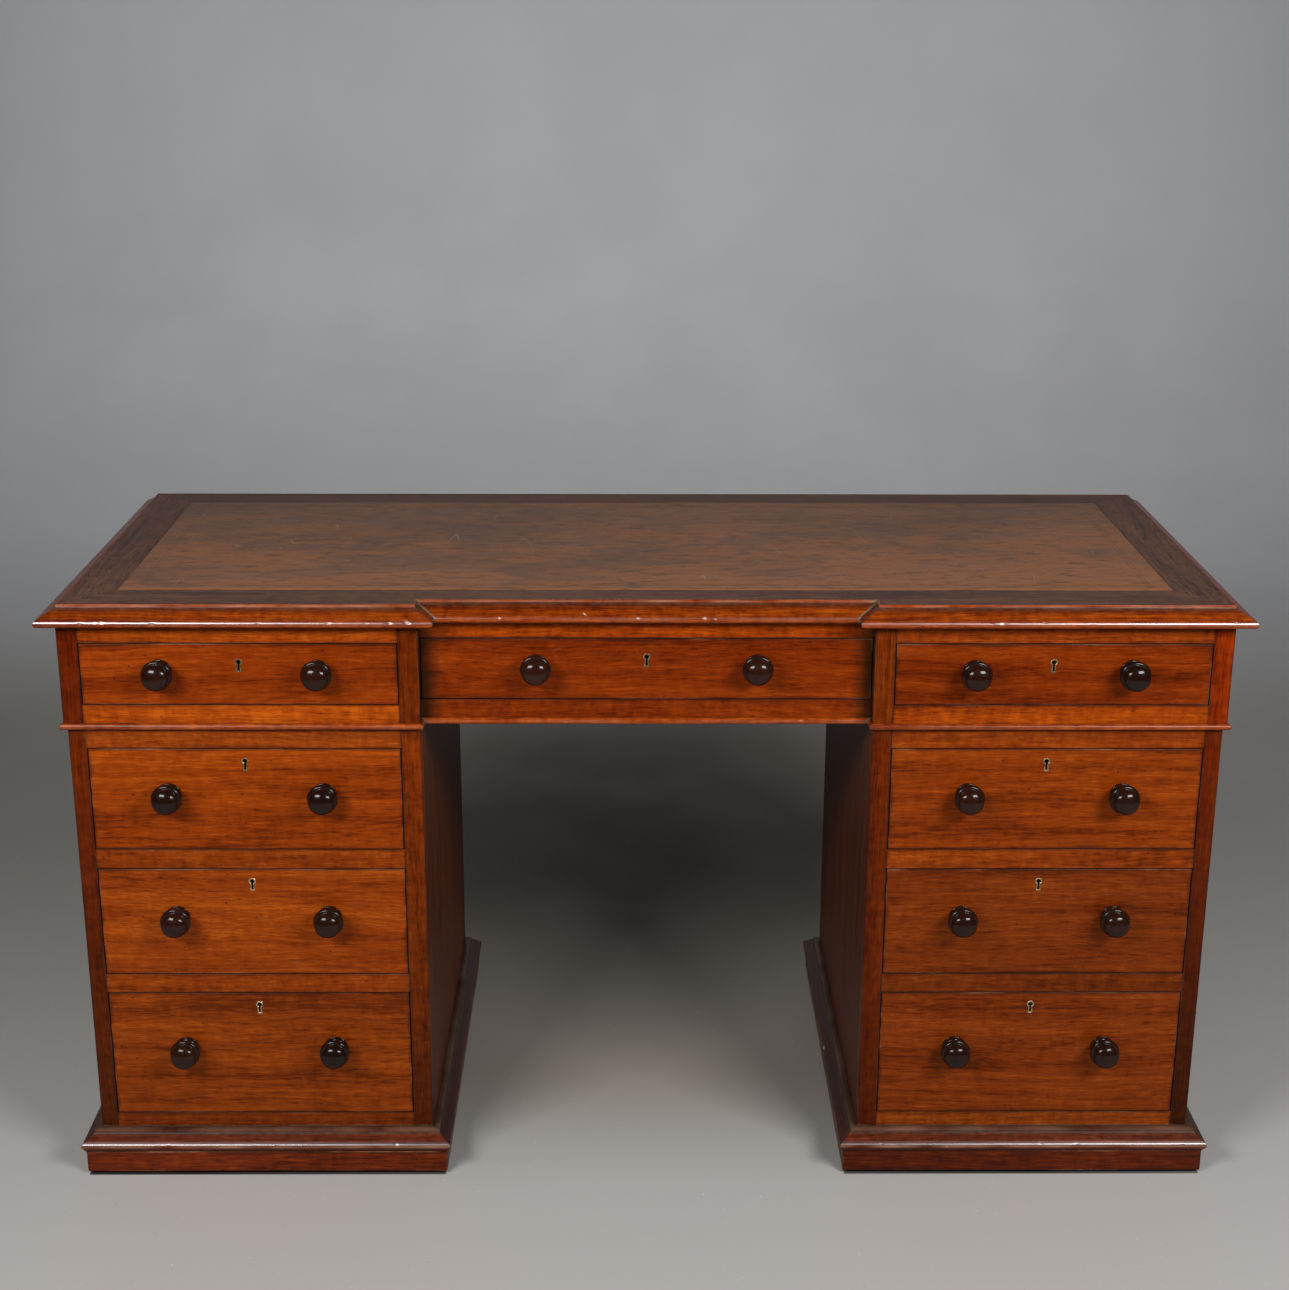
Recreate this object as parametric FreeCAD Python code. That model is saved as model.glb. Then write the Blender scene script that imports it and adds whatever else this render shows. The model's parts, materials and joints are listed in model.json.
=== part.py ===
import FreeCAD, Part
import math
import os

# Pedestal writing desk with an inverted breakfront and nine locking drawers, in millimetres.
# X runs to the right, Y to the back and Z up.  The origin is on the floor, at the middle of the
# box that holds the desk and its knobs.  Each STEP file holds one node of separate wooden or
# brass pieces, as they would lie on a bench.

# Overall sizes
desk_height = 781.0
frieze_width = 1440.0
frieze_depth = 576.0
kneehole_width = 560.0
recess_depth = 22.0

# Top
top_thickness = 24.5
top_overhang = 21.0
moulding_width = 26.0
arris_land = 3.0
arris_drop = 4.0
nose_radius = 5.2
banding_thickness = 3.0
leather_thickness = 1.2
side_border = 62.5
front_border = 66.0
back_border = 55.0

# Frieze and pedestal carcasses
frieze_height = 136.5
bead_height = 8.5
bead_projection = 4.5
bead_flats = 6
stile_width = 25.0
frame_thickness = 22.0
rail_depth = 60.0
frieze_top_rail = 24.0
frieze_bottom_rail = 32.0
rail_height = 26.0
bottom_rail = 21.0
top_drawer_height = 137.0
middle_drawer_height = 148.0
board_thickness = 18.0
dust_board = 12.0
pedestal_side_inset = 3.5
pedestal_front_inset = 4.5
pedestal_back_inset = 12.0
back_stile = 55.0
back_panel = 7.0
back_panel_setback = 5.0
panel_tongue = 8.0

# Plinth
plinth_height = 56.0
plinth_board_height = 30.0
plinth_board_overhang = 18.8
plinth_board_thickness = 18.0
plinth_nose_overhang = 23.7
plinth_nose_height = 39.0
plinth_nose_radius = 5.0
plinth_flat = 9.0
plinth_step = 3.3
plinth_seat = 14.0
corner_block = 34.0
glide_height = 4.0
glide_radius = 11.0
glide_taper = 1.5
glide_inset = 30.0
glide_flats = 10

# Drawers
front_thickness = 20.0
front_gap = 1.0
side_thickness = 10.0
side_drop = 3.0
drawer_back_thickness = 9.0
drawer_back_drop = 6.0
bottom_thickness = 7.0
bottom_lift = 4.0
bottom_groove = 6.0
slip_width = 10.0
slip_height = 15.0
slip_groove = 5.0
slip_chamfer = 4.0
lap = 5.0
dovetail_pitch = 50.0
dovetail_neck = 0.5  # of the pitch
dovetail_slope = 1.0 / 6.0
drawer_clearance_behind = 8.0
runner_clearance = 0.3
guide_clearance = 0.5
guide_height = 24.0
runner_reach = 28.0
stop_width = 30.0
stop_depth = 25.0
stop_height = 3.0
stop_places = (0.25, 0.75)  # of the opening's width

# Knobs, turned round an axis square to the drawer front
knob_radius = 19.2
knob_projection = 37.0
knob_dome_radius = 16.4
knob_dome_steps = (0.3, 0.7, 1.0)  # of the dome's height
knob_crown_radius = 1.5
knob_crease = 0.8
knob_ring_place = 18.0
knob_ring_width = 7.0
knob_ring_chamfer = 2.0
knob_neck_radius = 10.0
knob_neck_flare = 5.0
knob_base_radius = 15.5
knob_base_thickness = 3.0
knob_spacing = 195.0
centre_knob_spacing = 275.0
knob_rise = 0.55  # of the opening's height
knob_flats = 12

# Locks
lock_width = 50.0
lock_depth = 9.0
lock_wall = 1.4
lock_below_key = 14.0
lock_plate_width = 62.0
lock_plate_thickness = 1.8
key_pin_radius = 1.3
pedestal_key_drop = 16.5
frieze_key_drop = 23.5
keyhole_radius = 2.8
keyhole_neck = 2.4
keyhole_foot = 2.8
keyhole_drop = 11.3
liner_margin = 1.8
liner_neck_share = 0.6  # of the margin, beside the neck
liner_depth = 5.0
liner_stand = 0.2
eye_flats = 8
bolt_width = 14.0
bolt_thickness = 4.0
bolt_tail_width = 28.0
bolt_tail_height = 4.5
bolt_throw = 6.5
bolt_clearance = 0.3
mortise_spare = 1.0

# Levels, from the floor up
plinth_bottom = glide_height
plinth_top = plinth_bottom + plinth_height
top_bottom = desk_height - top_thickness
frieze_bottom = top_bottom - frieze_height

# Plan lines
frieze_half = frieze_width / 2
kneehole_half = kneehole_width / 2
frieze_front = -(frieze_depth + top_overhang - knob_projection) / 2
frieze_back = frieze_front + frieze_depth
recess_front = frieze_front + recess_depth
pedestal_front = frieze_front + pedestal_front_inset
pedestal_back = frieze_back - pedestal_back_inset
pedestal_outer = frieze_half - pedestal_side_inset
opening_inner = kneehole_half + stile_width
opening_outer = frieze_half - stile_width
frieze_inside = frieze_back - board_thickness
pedestal_inside = pedestal_back - board_thickness

up = FreeCAD.Vector(0, 0, 1)


def point(x, y, z):
    return FreeCAD.Vector(x, y, z)


def box(x0, x1, y0, y1, z0, z1):
    """A board between two opposite corners, given in any order along X."""
    left = min(x0, x1)
    return Part.makeBox(abs(x1 - x0), y1 - y0, z1 - z0, point(left, y0, z0))


def plate(corners, thickness):
    """A closed outline of corners, given a thickness along a vector."""
    return Part.Face(Part.makePolygon(corners + corners[:1])).extrude(thickness)


def line(start, end):
    return Part.LineSegment(start, end).toShape()


def arc_about(start, end, centre):
    """The shorter round about a centre from start to end."""
    towards_middle = (start - centre + end - centre).normalize()
    middle = centre + towards_middle * start.distanceToPoint(centre)
    return Part.Arc(start, middle, end).toShape()


def save(node, solids):
    Part.makeCompound(solids).exportStep("parts/" + node + ".step")


def turned(base, axis, profile, flats):
    """A small turned piece, light enough to repeat: its profile of (distance, radius) in flats."""
    across = axis.cross(up if abs(axis.z) < 0.5 else point(1, 0, 0))
    beside = axis.cross(across)
    rings = []
    for distance, radius in profile:
        ring = []
        for index in range(flats):
            turn = 2 * math.pi * (index + 0.5) / flats
            ring.append(base + axis * distance + across * (radius * math.cos(turn))
                        + beside * (radius * math.sin(turn)))
        rings.append(ring)
    faces = [Part.Face(Part.makePolygon(ring + ring[:1])) for ring in (rings[0], rings[-1])]
    for near, far in zip(rings, rings[1:]):
        for index in range(flats):
            after = (index + 1) % flats
            corners = [near[index], near[after], far[after], far[index], near[index]]
            faces.append(Part.Face(Part.makePolygon(corners)))
    solid = Part.Solid(Part.Shell(faces))
    return solid if solid.Volume > 0 else solid.reversed()


# Mitred mouldings

def tangent_point(foot, nose, radius, side):
    """Where a straight line from a foot meets a round nose, on its left (1) or right (-1)."""
    out, height = nose[0] - foot[0], nose[1] - foot[1]
    reach = math.hypot(out, height)
    turn = math.atan2(height, out) + side * math.asin(radius / reach)
    length = math.sqrt(reach ** 2 - radius ** 2)
    return foot[0] + length * math.cos(turn), foot[1] + length * math.sin(turn)


def beyond(corner, normal):
    """Everything past the upright plane through a corner, on the side of the normal."""
    size = 3 * frieze_width
    block = Part.makeBox(size, size, size, point(-size / 2, -size / 2, 0))
    block.Placement = FreeCAD.Placement(corner, FreeCAD.Rotation(up, normal))
    return block


def mitred_runs(corners, outline):
    """One moulding for each side of a closed plan, given anticlockwise, mitred where sides meet."""
    runs = []
    spare = 3 * moulding_width
    for index, start in enumerate(corners):
        end = corners[(index + 1) % len(corners)]
        after = corners[(index + 2) % len(corners)]
        along = (end - start).normalize()
        along_before = (start - corners[index - 1]).normalize()
        along_after = (after - end).normalize()
        outward = along.cross(up)
        origin = start - along * spare

        def place(out, height):
            return origin + outward * out + up * height

        section = Part.Face(Part.Wire(outline(place)))
        run = section.extrude(along * (start.distanceToPoint(end) + 2 * spare))
        run = run.cut(beyond(start, (along + along_before) * -1))
        runs.append(run.cut(beyond(end, along + along_after)))
    return runs


def frieze_plan(offset):
    """The frieze's breakfront outline, grown outwards by an offset."""
    side = frieze_half + offset
    recess = kneehole_half - offset
    front = frieze_front - offset
    back = frieze_back + offset
    return [
        point(-side, front, 0),
        point(-recess, front, 0),
        point(-recess, front + recess_depth, 0),
        point(recess, front + recess_depth, 0),
        point(recess, front, 0),
        point(side, front, 0),
        point(side, back, 0),
        point(-side, back, 0),
    ]


def pedestal_plan(sign):
    left, right = sorted((sign * kneehole_half, sign * pedestal_outer))
    return [
        point(left, pedestal_front, 0),
        point(right, pedestal_front, 0),
        point(right, pedestal_back, 0),
        point(left, pedestal_back, 0),
    ]


# Top

def top_moulding_outline(place):
    """A flat land, a small drop and a slope that runs into a round nose."""
    foot = (arris_land, desk_height - arris_drop)
    nose = (moulding_width - nose_radius, top_bottom + nose_radius)
    slope_end = tangent_point(foot, nose, nose_radius, 1)
    return [
        line(place(0, desk_height), place(0, top_bottom)),
        line(place(0, top_bottom), place(nose[0], top_bottom)),
        arc_about(place(nose[0], top_bottom), place(*slope_end), place(*nose)),
        line(place(*slope_end), place(*foot)),
        line(place(*foot), place(arris_land, desk_height)),
        line(place(arris_land, desk_height), place(0, desk_height)),
    ]


def leather_corners(height):
    side = frieze_half - side_border
    front = frieze_front + front_border
    back = frieze_back - back_border
    return [
        point(-side, front, height),
        point(side, front, height),
        point(side, back, height),
        point(-side, back, height),
    ]


def make_top():
    flat_edge = top_overhang - moulding_width
    save("top_edge_moulding", mitred_runs(frieze_plan(flat_edge), top_moulding_outline))

    band_bottom = desk_height - banding_thickness
    field_top = desk_height - leather_thickness
    board = plate([corner + up * top_bottom for corner in frieze_plan(flat_edge)],
                  up * (band_bottom - top_bottom))
    field = plate(leather_corners(band_bottom), up * (field_top - band_bottom))
    save("top_board", [board.fuse(field).removeSplitter()])
    save("writing_leather", [plate(leather_corners(field_top), up * leather_thickness)])

    outer = [corner + up * band_bottom for corner in frieze_plan(flat_edge)]
    inner = leather_corners(band_bottom)
    strips = [
        outer[:6] + [inner[1], inner[0]],
        [outer[5], outer[6], inner[2], inner[1]],
        [outer[6], outer[7], inner[3], inner[2]],
        [outer[7], outer[0], inner[0], inner[3]],
    ]
    save("top_banding", [plate(strip, up * banding_thickness) for strip in strips])


# Drawers and their openings

def find_drawers():
    """Each drawer's opening, the planes before and behind it, and the levels its runners need."""
    found = []
    top_high = frieze_bottom - rail_height
    top_low = top_high - top_drawer_height
    middle_high = top_low - rail_height
    middle_low = middle_high - middle_drawer_height
    bottom_high = middle_low - rail_height
    bottom_low = plinth_top + bottom_rail
    floor = plinth_top + dust_board
    frieze_low = frieze_bottom + frieze_bottom_rail
    frieze_high = top_bottom - frieze_top_rail
    rows = [
        ("top", top_low, top_high, middle_high, frieze_bottom - dust_board),
        ("middle", middle_low, middle_high, bottom_high, None),
        ("bottom", bottom_low, bottom_high, floor, None),
    ]
    for side, sign in (("left", -1), ("right", 1)):
        edges = sorted((sign * opening_inner, sign * opening_outer))
        case = sorted((sign * (kneehole_half + board_thickness),
                       sign * (frieze_half - board_thickness)))
        found.append(dict(
            name=side + "_frieze", x=edges, z=(frieze_low, frieze_high), face=frieze_front,
            inside=frieze_inside, case=case, seat=frieze_bottom, ceiling=top_bottom,
            knobs=knob_spacing, key_drop=frieze_key_drop))
        case = sorted((sign * (kneehole_half + board_thickness),
                       sign * (pedestal_outer - board_thickness)))
        for row, low, high, seat, ceiling in rows:
            found.append(dict(
                name=side + "_" + row, x=edges, z=(low, high), face=pedestal_front,
                inside=pedestal_inside, case=case, seat=seat, ceiling=ceiling,
                knobs=knob_spacing, key_drop=pedestal_key_drop))
    found.append(dict(
        name="centre_frieze", x=[-kneehole_half, kneehole_half], z=(frieze_low, frieze_high),
        face=recess_front, inside=frieze_inside, case=[-kneehole_half, kneehole_half],
        seat=frieze_bottom, ceiling=top_bottom,
        knobs=centre_knob_spacing, key_drop=frieze_key_drop))
    return found


def dovetails(shoulder, tip, low, high):
    """Corners of a row of dovetails from low to high, narrow at the shoulder and wide at the tip."""
    count = max(2, round((high - low) / dovetail_pitch))
    pitch = (high - low) / count
    spread = abs(tip - shoulder) * dovetail_slope
    neck = pitch * dovetail_neck / 2
    corners = []
    for index in range(count):
        middle = low + pitch * (index + 0.5)
        corners.append((shoulder, middle - neck))
        corners.append((tip, middle - neck - spread))
        corners.append((tip, middle + neck + spread))
        corners.append((shoulder, middle + neck))
    return corners


def drawer_size(drawer):
    """The outside of a drawer: its ends, bottom, front top, side top and back."""
    left = drawer["x"][0] + front_gap
    right = drawer["x"][1] - front_gap
    low = drawer["z"][0] + front_gap
    high = drawer["z"][1] - front_gap
    return left, right, low, high, high - side_drop, drawer["inside"] - drawer_clearance_behind


def drawer_side(drawer, outer, inward):
    """A drawer side, with lapped dovetails for the front and through dovetails for the back."""
    low, high, back = drawer_size(drawer)[2], drawer_size(drawer)[4], drawer_size(drawer)[5]
    shoulder = drawer["face"] + front_thickness
    rear_shoulder = back - drawer_back_thickness
    outline = [(shoulder, low)] + dovetails(shoulder, drawer["face"] + lap, low, high)
    outline += [(shoulder, high), (rear_shoulder, high)]
    outline += dovetails(rear_shoulder, back, low, high)[::-1] + [(rear_shoulder, low)]
    return plate([point(outer, y, z) for y, z in outline], point(inward * side_thickness, 0, 0))


def drawer_slip(drawer, outer, inward, bottom):
    """A chamfered strip along the foot of a drawer side, grooved for the bottom."""
    low = drawer_size(drawer)[2]
    start = drawer["face"] + front_thickness
    end = drawer_size(drawer)[5] - drawer_back_thickness
    near = outer + inward * side_thickness
    far = near + inward * slip_width
    top = low + slip_height
    outline = [
        point(near, start, low),
        point(far, start, low),
        point(far, start, top - slip_chamfer),
        point(far - inward * slip_chamfer, start, top),
        point(near, start, top),
    ]
    return plate(outline, point(0, end - start, 0)).cut(bottom)


def key_place(drawer):
    middle = sum(drawer["x"]) / 2
    return middle, drawer["z"][1] - front_gap - drawer["key_drop"]


def keyhole(drawer, start, end, margin=0.0):
    """A keyhole from one plane to another: a round eye over a slot that widens downwards."""
    middle, height = key_place(drawer)
    radius = keyhole_radius + margin
    neck = keyhole_neck / 2 + margin * liner_neck_share
    foot = keyhole_foot / 2 + margin
    opening = math.asin(neck / radius)
    outline = []
    for index in range(eye_flats + 1):
        turn = opening + (2 * math.pi - 2 * opening) * index / eye_flats
        outline.append(point(middle - radius * math.sin(turn), start,
                             height - radius * math.cos(turn)))
    low = height - keyhole_drop - margin
    outline += [point(middle + foot, start, low), point(middle - foot, start, low)]
    return plate(outline, point(0, end - start, 0))


def lock_case_box(drawer):
    middle, height = key_place(drawer)
    back = drawer["face"] + front_thickness
    return box(middle - lock_width / 2, middle + lock_width / 2, back - lock_depth, back,
               height - lock_below_key, drawer_size(drawer)[3] - lock_plate_thickness)


def lock_plate_box(drawer):
    middle = key_place(drawer)[0]
    back = drawer["face"] + front_thickness
    top = drawer_size(drawer)[3]
    return box(middle - lock_plate_width / 2, middle + lock_plate_width / 2, back - lock_depth,
               back, top - lock_plate_thickness, top)


def bolt_box(drawer, half_width, low, high, spare=0.0):
    middle = key_place(drawer)[0]
    centre = drawer["face"] + front_thickness - lock_depth / 2
    half = bolt_thickness / 2 + spare
    return box(middle - half_width - spare, middle + half_width + spare, centre - half,
               centre + half, low, high)


def knob_centres(drawer):
    middle = sum(drawer["x"]) / 2
    low, high = drawer["z"]
    height = low + (high - low) * knob_rise
    return [point(middle + side * drawer["knobs"] / 2, drawer["face"], height)
            for side in (-1, 1)]


def make_drawer_wood(drawer):
    left, right, low, high, side_top, back = drawer_size(drawer)
    face = drawer["face"]
    inner_face = face + front_thickness
    sides = [drawer_side(drawer, left, 1), drawer_side(drawer, right, -1)]
    bottom_low = low + bottom_lift
    bottom_high = bottom_low + bottom_thickness
    reach = side_thickness + slip_width - slip_groove
    bottom = box(left + reach, right - reach, inner_face - bottom_groove, back,
                 bottom_low, bottom_high)
    back_board = box(left, right, back - drawer_back_thickness, back,
                     bottom_high, side_top - drawer_back_drop)
    back_board = back_board.cut(Part.makeCompound(sides))
    slips = [drawer_slip(drawer, left, 1, bottom), drawer_slip(drawer, right, -1, bottom)]
    save(drawer["name"] + "_drawer_box", sides + slips + [back_board, bottom])

    front = box(left, right, face, inner_face, low, high)
    cuts = sides + [bottom, lock_case_box(drawer), lock_plate_box(drawer)]
    cuts.append(keyhole(drawer, face, inner_face))
    cuts.append(keyhole(drawer, face, face + liner_depth, liner_margin))
    for cut in cuts:
        front = front.cut(cut)
    save(drawer["name"] + "_drawer_front", front.Solids)


def make_lock(drawer):
    """A brass lock let into the front, open towards the wood, and its keyhole liner."""
    middle, height = key_place(drawer)
    face = drawer["face"]
    back = face + front_thickness
    top = drawer_size(drawer)[3]
    half = lock_width / 2 - lock_wall
    cavity = box(middle - half, middle + half, back - lock_depth, back - lock_wall,
                 height - lock_below_key + lock_wall, top - lock_plate_thickness)
    case = lock_case_box(drawer).cut(cavity)
    pin = turned(point(middle, back - lock_wall, height), point(0, -1, 0),
                 [(0, key_pin_radius), (lock_depth - lock_wall, key_pin_radius)], eye_flats)
    slot = bolt_box(drawer, bolt_width / 2, top - lock_plate_thickness, top, bolt_clearance)
    cover = lock_plate_box(drawer).cut(slot)
    case = case.fuse([pin, cover]).removeSplitter()
    liner = keyhole(drawer, face - liner_stand, face + liner_depth, liner_margin)
    liner = liner.cut(keyhole(drawer, face - liner_depth, back))
    save(drawer["name"] + "_drawer_lock", case.Solids + liner.Solids)

    tail_top = top - lock_plate_thickness - bolt_throw - bolt_clearance
    tail = bolt_box(drawer, bolt_tail_width / 2, tail_top - bolt_tail_height, tail_top)
    head = bolt_box(drawer, bolt_width / 2, tail_top - bolt_tail_height, top)
    save(drawer["name"] + "_lock_bolt", [head.fuse(tail).removeSplitter()])


def make_knobs(drawer):
    """Turned knobs: a base, a hollowed neck, a bead ring, a crease and a low dome."""
    ring_back = knob_ring_place - knob_ring_width / 2
    ring_front = knob_ring_place + knob_ring_width / 2
    dome_height = knob_projection - ring_front
    profile = [
        (0, knob_base_radius),
        (knob_base_thickness, knob_base_radius),
        (ring_back - knob_neck_flare, knob_neck_radius),
        (ring_back, knob_radius - knob_ring_chamfer),
        (knob_ring_place, knob_radius),
        (ring_front, knob_dome_radius - knob_crease),
    ]
    for share in knob_dome_steps:
        radius = knob_crown_radius + (knob_dome_radius - knob_crown_radius) * math.sqrt(1 - share ** 2)
        profile.append((ring_front + dome_height * share, radius))
    axis = point(0, -1, 0)
    save(drawer["name"] + "_drawer_knobs",
         [turned(centre, axis, profile, knob_flats) for centre in knob_centres(drawer)])


def rail_over(drawer, rail):
    """A rail above a drawer, mortised for that drawer's bolt."""
    opening_top = drawer["z"][1]
    depth = bolt_throw - front_gap + mortise_spare
    return rail.cut(bolt_box(drawer, bolt_width / 2, opening_top - front_gap,
                             opening_top + depth, mortise_spare))


# Carcasses

def make_frieze(drawers):
    save("waist_bead", mitred_runs(frieze_plan(0), waist_bead_outline))
    post_back = recess_front + frame_thickness
    case = [box(-frieze_half + board_thickness, frieze_half - board_thickness,
                frieze_inside, frieze_back, frieze_bottom, top_bottom)]
    frame = []
    for sign in (-1, 1):
        case.append(box(sign * (frieze_half - board_thickness), sign * frieze_half,
                        frieze_front + frame_thickness, frieze_back, frieze_bottom, top_bottom))
        case.append(box(sign * kneehole_half, sign * (kneehole_half + board_thickness),
                        post_back, frieze_inside, frieze_bottom, top_bottom))
        frame.append(box(sign * opening_outer, sign * frieze_half, frieze_front,
                         frieze_front + frame_thickness, frieze_bottom, top_bottom))
        frame.append(box(sign * kneehole_half, sign * opening_inner, frieze_front, post_back,
                         frieze_bottom, top_bottom))
    for name in ("left_frieze", "centre_frieze", "right_frieze"):
        drawer = drawers[name]
        low, high = drawer["z"]
        face = drawer["face"]
        frame.append(box(*drawer["x"], face, face + rail_depth, frieze_bottom, low))
        frame.append(rail_over(drawer, box(*drawer["x"], face, face + rail_depth, high,
                                           top_bottom)))
    save("frieze_case", case)
    save("frieze_face_frame", frame)


def waist_bead_outline(place):
    """A half-round bead, in a few flats because it runs all round the desk."""
    middle = frieze_bottom + bead_height / 2
    corners = []
    for index in range(bead_flats + 1):
        turn = math.pi * index / bead_flats
        corners.append(place(bead_projection * math.sin(turn),
                             middle - bead_height / 2 * math.cos(turn)))
    return [line(start, end) for start, end in zip(corners, corners[1:] + corners[:1])]


def make_pedestal(side, sign, drawers):
    inner_face = sign * (kneehole_half + board_thickness)
    outer_face = sign * (pedestal_outer - board_thickness)
    boards_front = pedestal_front + frame_thickness
    behind_rails = pedestal_front + rail_depth
    case = [
        box(sign * kneehole_half, inner_face, boards_front, pedestal_back, plinth_top,
            frieze_bottom),
        box(outer_face, sign * pedestal_outer, boards_front, pedestal_back, plinth_top,
            frieze_bottom),
        box(inner_face, outer_face, behind_rails, pedestal_inside, plinth_top,
            plinth_top + dust_board),
        box(inner_face, outer_face, behind_rails, pedestal_inside, frieze_bottom - dust_board,
            frieze_bottom),
    ]
    case += panelled_back(inner_face, outer_face)
    save(side + "_pedestal_case", case)

    stiles = [
        box(sign * kneehole_half, sign * opening_inner, pedestal_front, boards_front, plinth_top,
            frieze_bottom),
        box(sign * opening_outer, sign * pedestal_outer, pedestal_front, boards_front, plinth_top,
            frieze_bottom),
    ]
    column = [drawers[side + "_" + row] for row in ("bottom", "middle", "top")]
    lows = [plinth_top] + [drawer["z"][1] for drawer in column]
    highs = [drawer["z"][0] for drawer in column] + [frieze_bottom]
    rails = [box(*column[0]["x"], pedestal_front, behind_rails, low, high)
             for low, high in zip(lows, highs)]
    mortised = [rail_over(drawer, rail) for drawer, rail in zip(column, rails[1:])]
    save(side + "_pedestal_face_frame", stiles + rails[:1] + mortised)


def panelled_back(inner_face, outer_face):
    """A frame of two stiles and two rails round a flat panel held in its grooves."""
    left, right = sorted((inner_face, outer_face))
    low = plinth_top
    high = frieze_bottom
    panel_back = pedestal_back - back_panel_setback
    panel = box(left + back_stile - panel_tongue, right - back_stile + panel_tongue,
                panel_back - back_panel, panel_back,
                low + back_stile - panel_tongue, high - back_stile + panel_tongue)
    members = [
        box(left, left + back_stile, pedestal_inside, pedestal_back, low, high),
        box(right - back_stile, right, pedestal_inside, pedestal_back, low, high),
        box(left + back_stile, right - back_stile, pedestal_inside, pedestal_back,
            low, low + back_stile),
        box(left + back_stile, right - back_stile, pedestal_inside, pedestal_back,
            high - back_stile, high),
    ]
    return [member.cut(panel) for member in members] + [panel]


def plinth_cap_outline(place):
    """A flat, a small step and a slope that runs into a round nose, cut back below."""
    low = (plinth_board_overhang, plinth_bottom + plinth_board_height)
    foot = (plinth_flat, plinth_top - plinth_step)
    nose = (plinth_nose_overhang - plinth_nose_radius, plinth_bottom + plinth_nose_height)
    slope_end = tangent_point(foot, nose, plinth_nose_radius, 1)
    undercut = tangent_point(low, nose, plinth_nose_radius, -1)
    return [
        line(place(-plinth_seat, plinth_top), place(-plinth_seat, low[1])),
        line(place(-plinth_seat, low[1]), place(*low)),
        line(place(*low), place(*undercut)),
        arc_about(place(*undercut), place(*slope_end), place(*nose)),
        line(place(*slope_end), place(*foot)),
        line(place(*foot), place(plinth_flat, plinth_top)),
        line(place(plinth_flat, plinth_top), place(-plinth_seat, plinth_top)),
    ]


def plinth_board_outline(place):
    inner = plinth_board_overhang - plinth_board_thickness
    high = plinth_bottom + plinth_board_height
    return [
        line(place(inner, plinth_bottom), place(plinth_board_overhang, plinth_bottom)),
        line(place(plinth_board_overhang, plinth_bottom), place(plinth_board_overhang, high)),
        line(place(plinth_board_overhang, high), place(inner, high)),
        line(place(inner, high), place(inner, plinth_bottom)),
    ]


def plinth_corners(sign, inset):
    """The plinth's corners, an inset within its boards' outer faces, with their inward turns."""
    plan = pedestal_plan(sign)
    shift = plinth_board_overhang - inset
    turns = [point(1, 1, 0), point(-1, 1, 0), point(-1, -1, 0), point(1, -1, 0)]
    return [(corner - turn * shift, turn) for corner, turn in zip(plan, turns)]


def make_plinth(side, sign):
    plan = pedestal_plan(sign)
    pieces = mitred_runs(plan, plinth_cap_outline) + mitred_runs(plan, plinth_board_outline)
    for corner, turn in plinth_corners(sign, plinth_board_thickness):
        far = corner + turn * corner_block
        pieces.append(box(corner.x, far.x, min(corner.y, far.y), max(corner.y, far.y),
                          plinth_bottom, plinth_bottom + plinth_board_height))
    save(side + "_plinth", pieces)


def make_glides():
    profile = [(0, glide_radius - glide_taper), (glide_taper, glide_radius),
               (glide_height, glide_radius)]
    corners = plinth_corners(-1, glide_inset) + plinth_corners(1, glide_inset)
    save("floor_glides", [turned(corner, up, profile, glide_flats) for corner, turn in corners])


def make_runners(drawers):
    """Runners and guides under each drawer, kickers over the highest, and stops on the rails."""
    pieces = []
    for drawer in drawers:
        face = drawer["face"]
        behind_rail = face + rail_depth
        low = drawer["z"][0]
        seat_top = low + front_gap - runner_clearance
        for case_face, edge, inward in zip(drawer["case"], drawer["x"], (1, -1)):
            far = edge + inward * runner_reach
            pieces.append(box(case_face, far, behind_rail, drawer["inside"], drawer["seat"],
                              seat_top))
            guide_face = edge + inward * (front_gap - guide_clearance)
            # The centre drawer is guided by the partitions beside it
            if case_face != edge:
                pieces.append(box(case_face, guide_face, behind_rail, drawer["inside"], seat_top,
                                  seat_top + guide_height))
            if drawer["ceiling"] is not None:
                kick = drawer_size(drawer)[4] + guide_clearance
                pieces.append(box(case_face, far, behind_rail, drawer["inside"], kick,
                                  drawer["ceiling"]))
        width = drawer["x"][1] - drawer["x"][0]
        for share in stop_places:
            middle = drawer["x"][0] + width * share
            start = face + front_thickness + runner_clearance
            pieces.append(box(middle - stop_width / 2, middle + stop_width / 2, start,
                              start + stop_depth, low, low + stop_height))
    save("drawer_runners", pieces)


def main():
    os.makedirs("parts", exist_ok=True)
    drawers = find_drawers()
    by_name = {drawer["name"]: drawer for drawer in drawers}
    make_top()
    make_frieze(by_name)
    for side, sign in (("left", -1), ("right", 1)):
        make_pedestal(side, sign, by_name)
        make_plinth(side, sign)
    make_glides()
    make_runners(drawers)
    for drawer in drawers:
        make_drawer_wood(drawer)
        make_lock(drawer)
        make_knobs(drawer)


main()
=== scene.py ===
import json
import math
import random

import bmesh
import bpy
from mathutils import Matrix, Vector, noise


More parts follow.
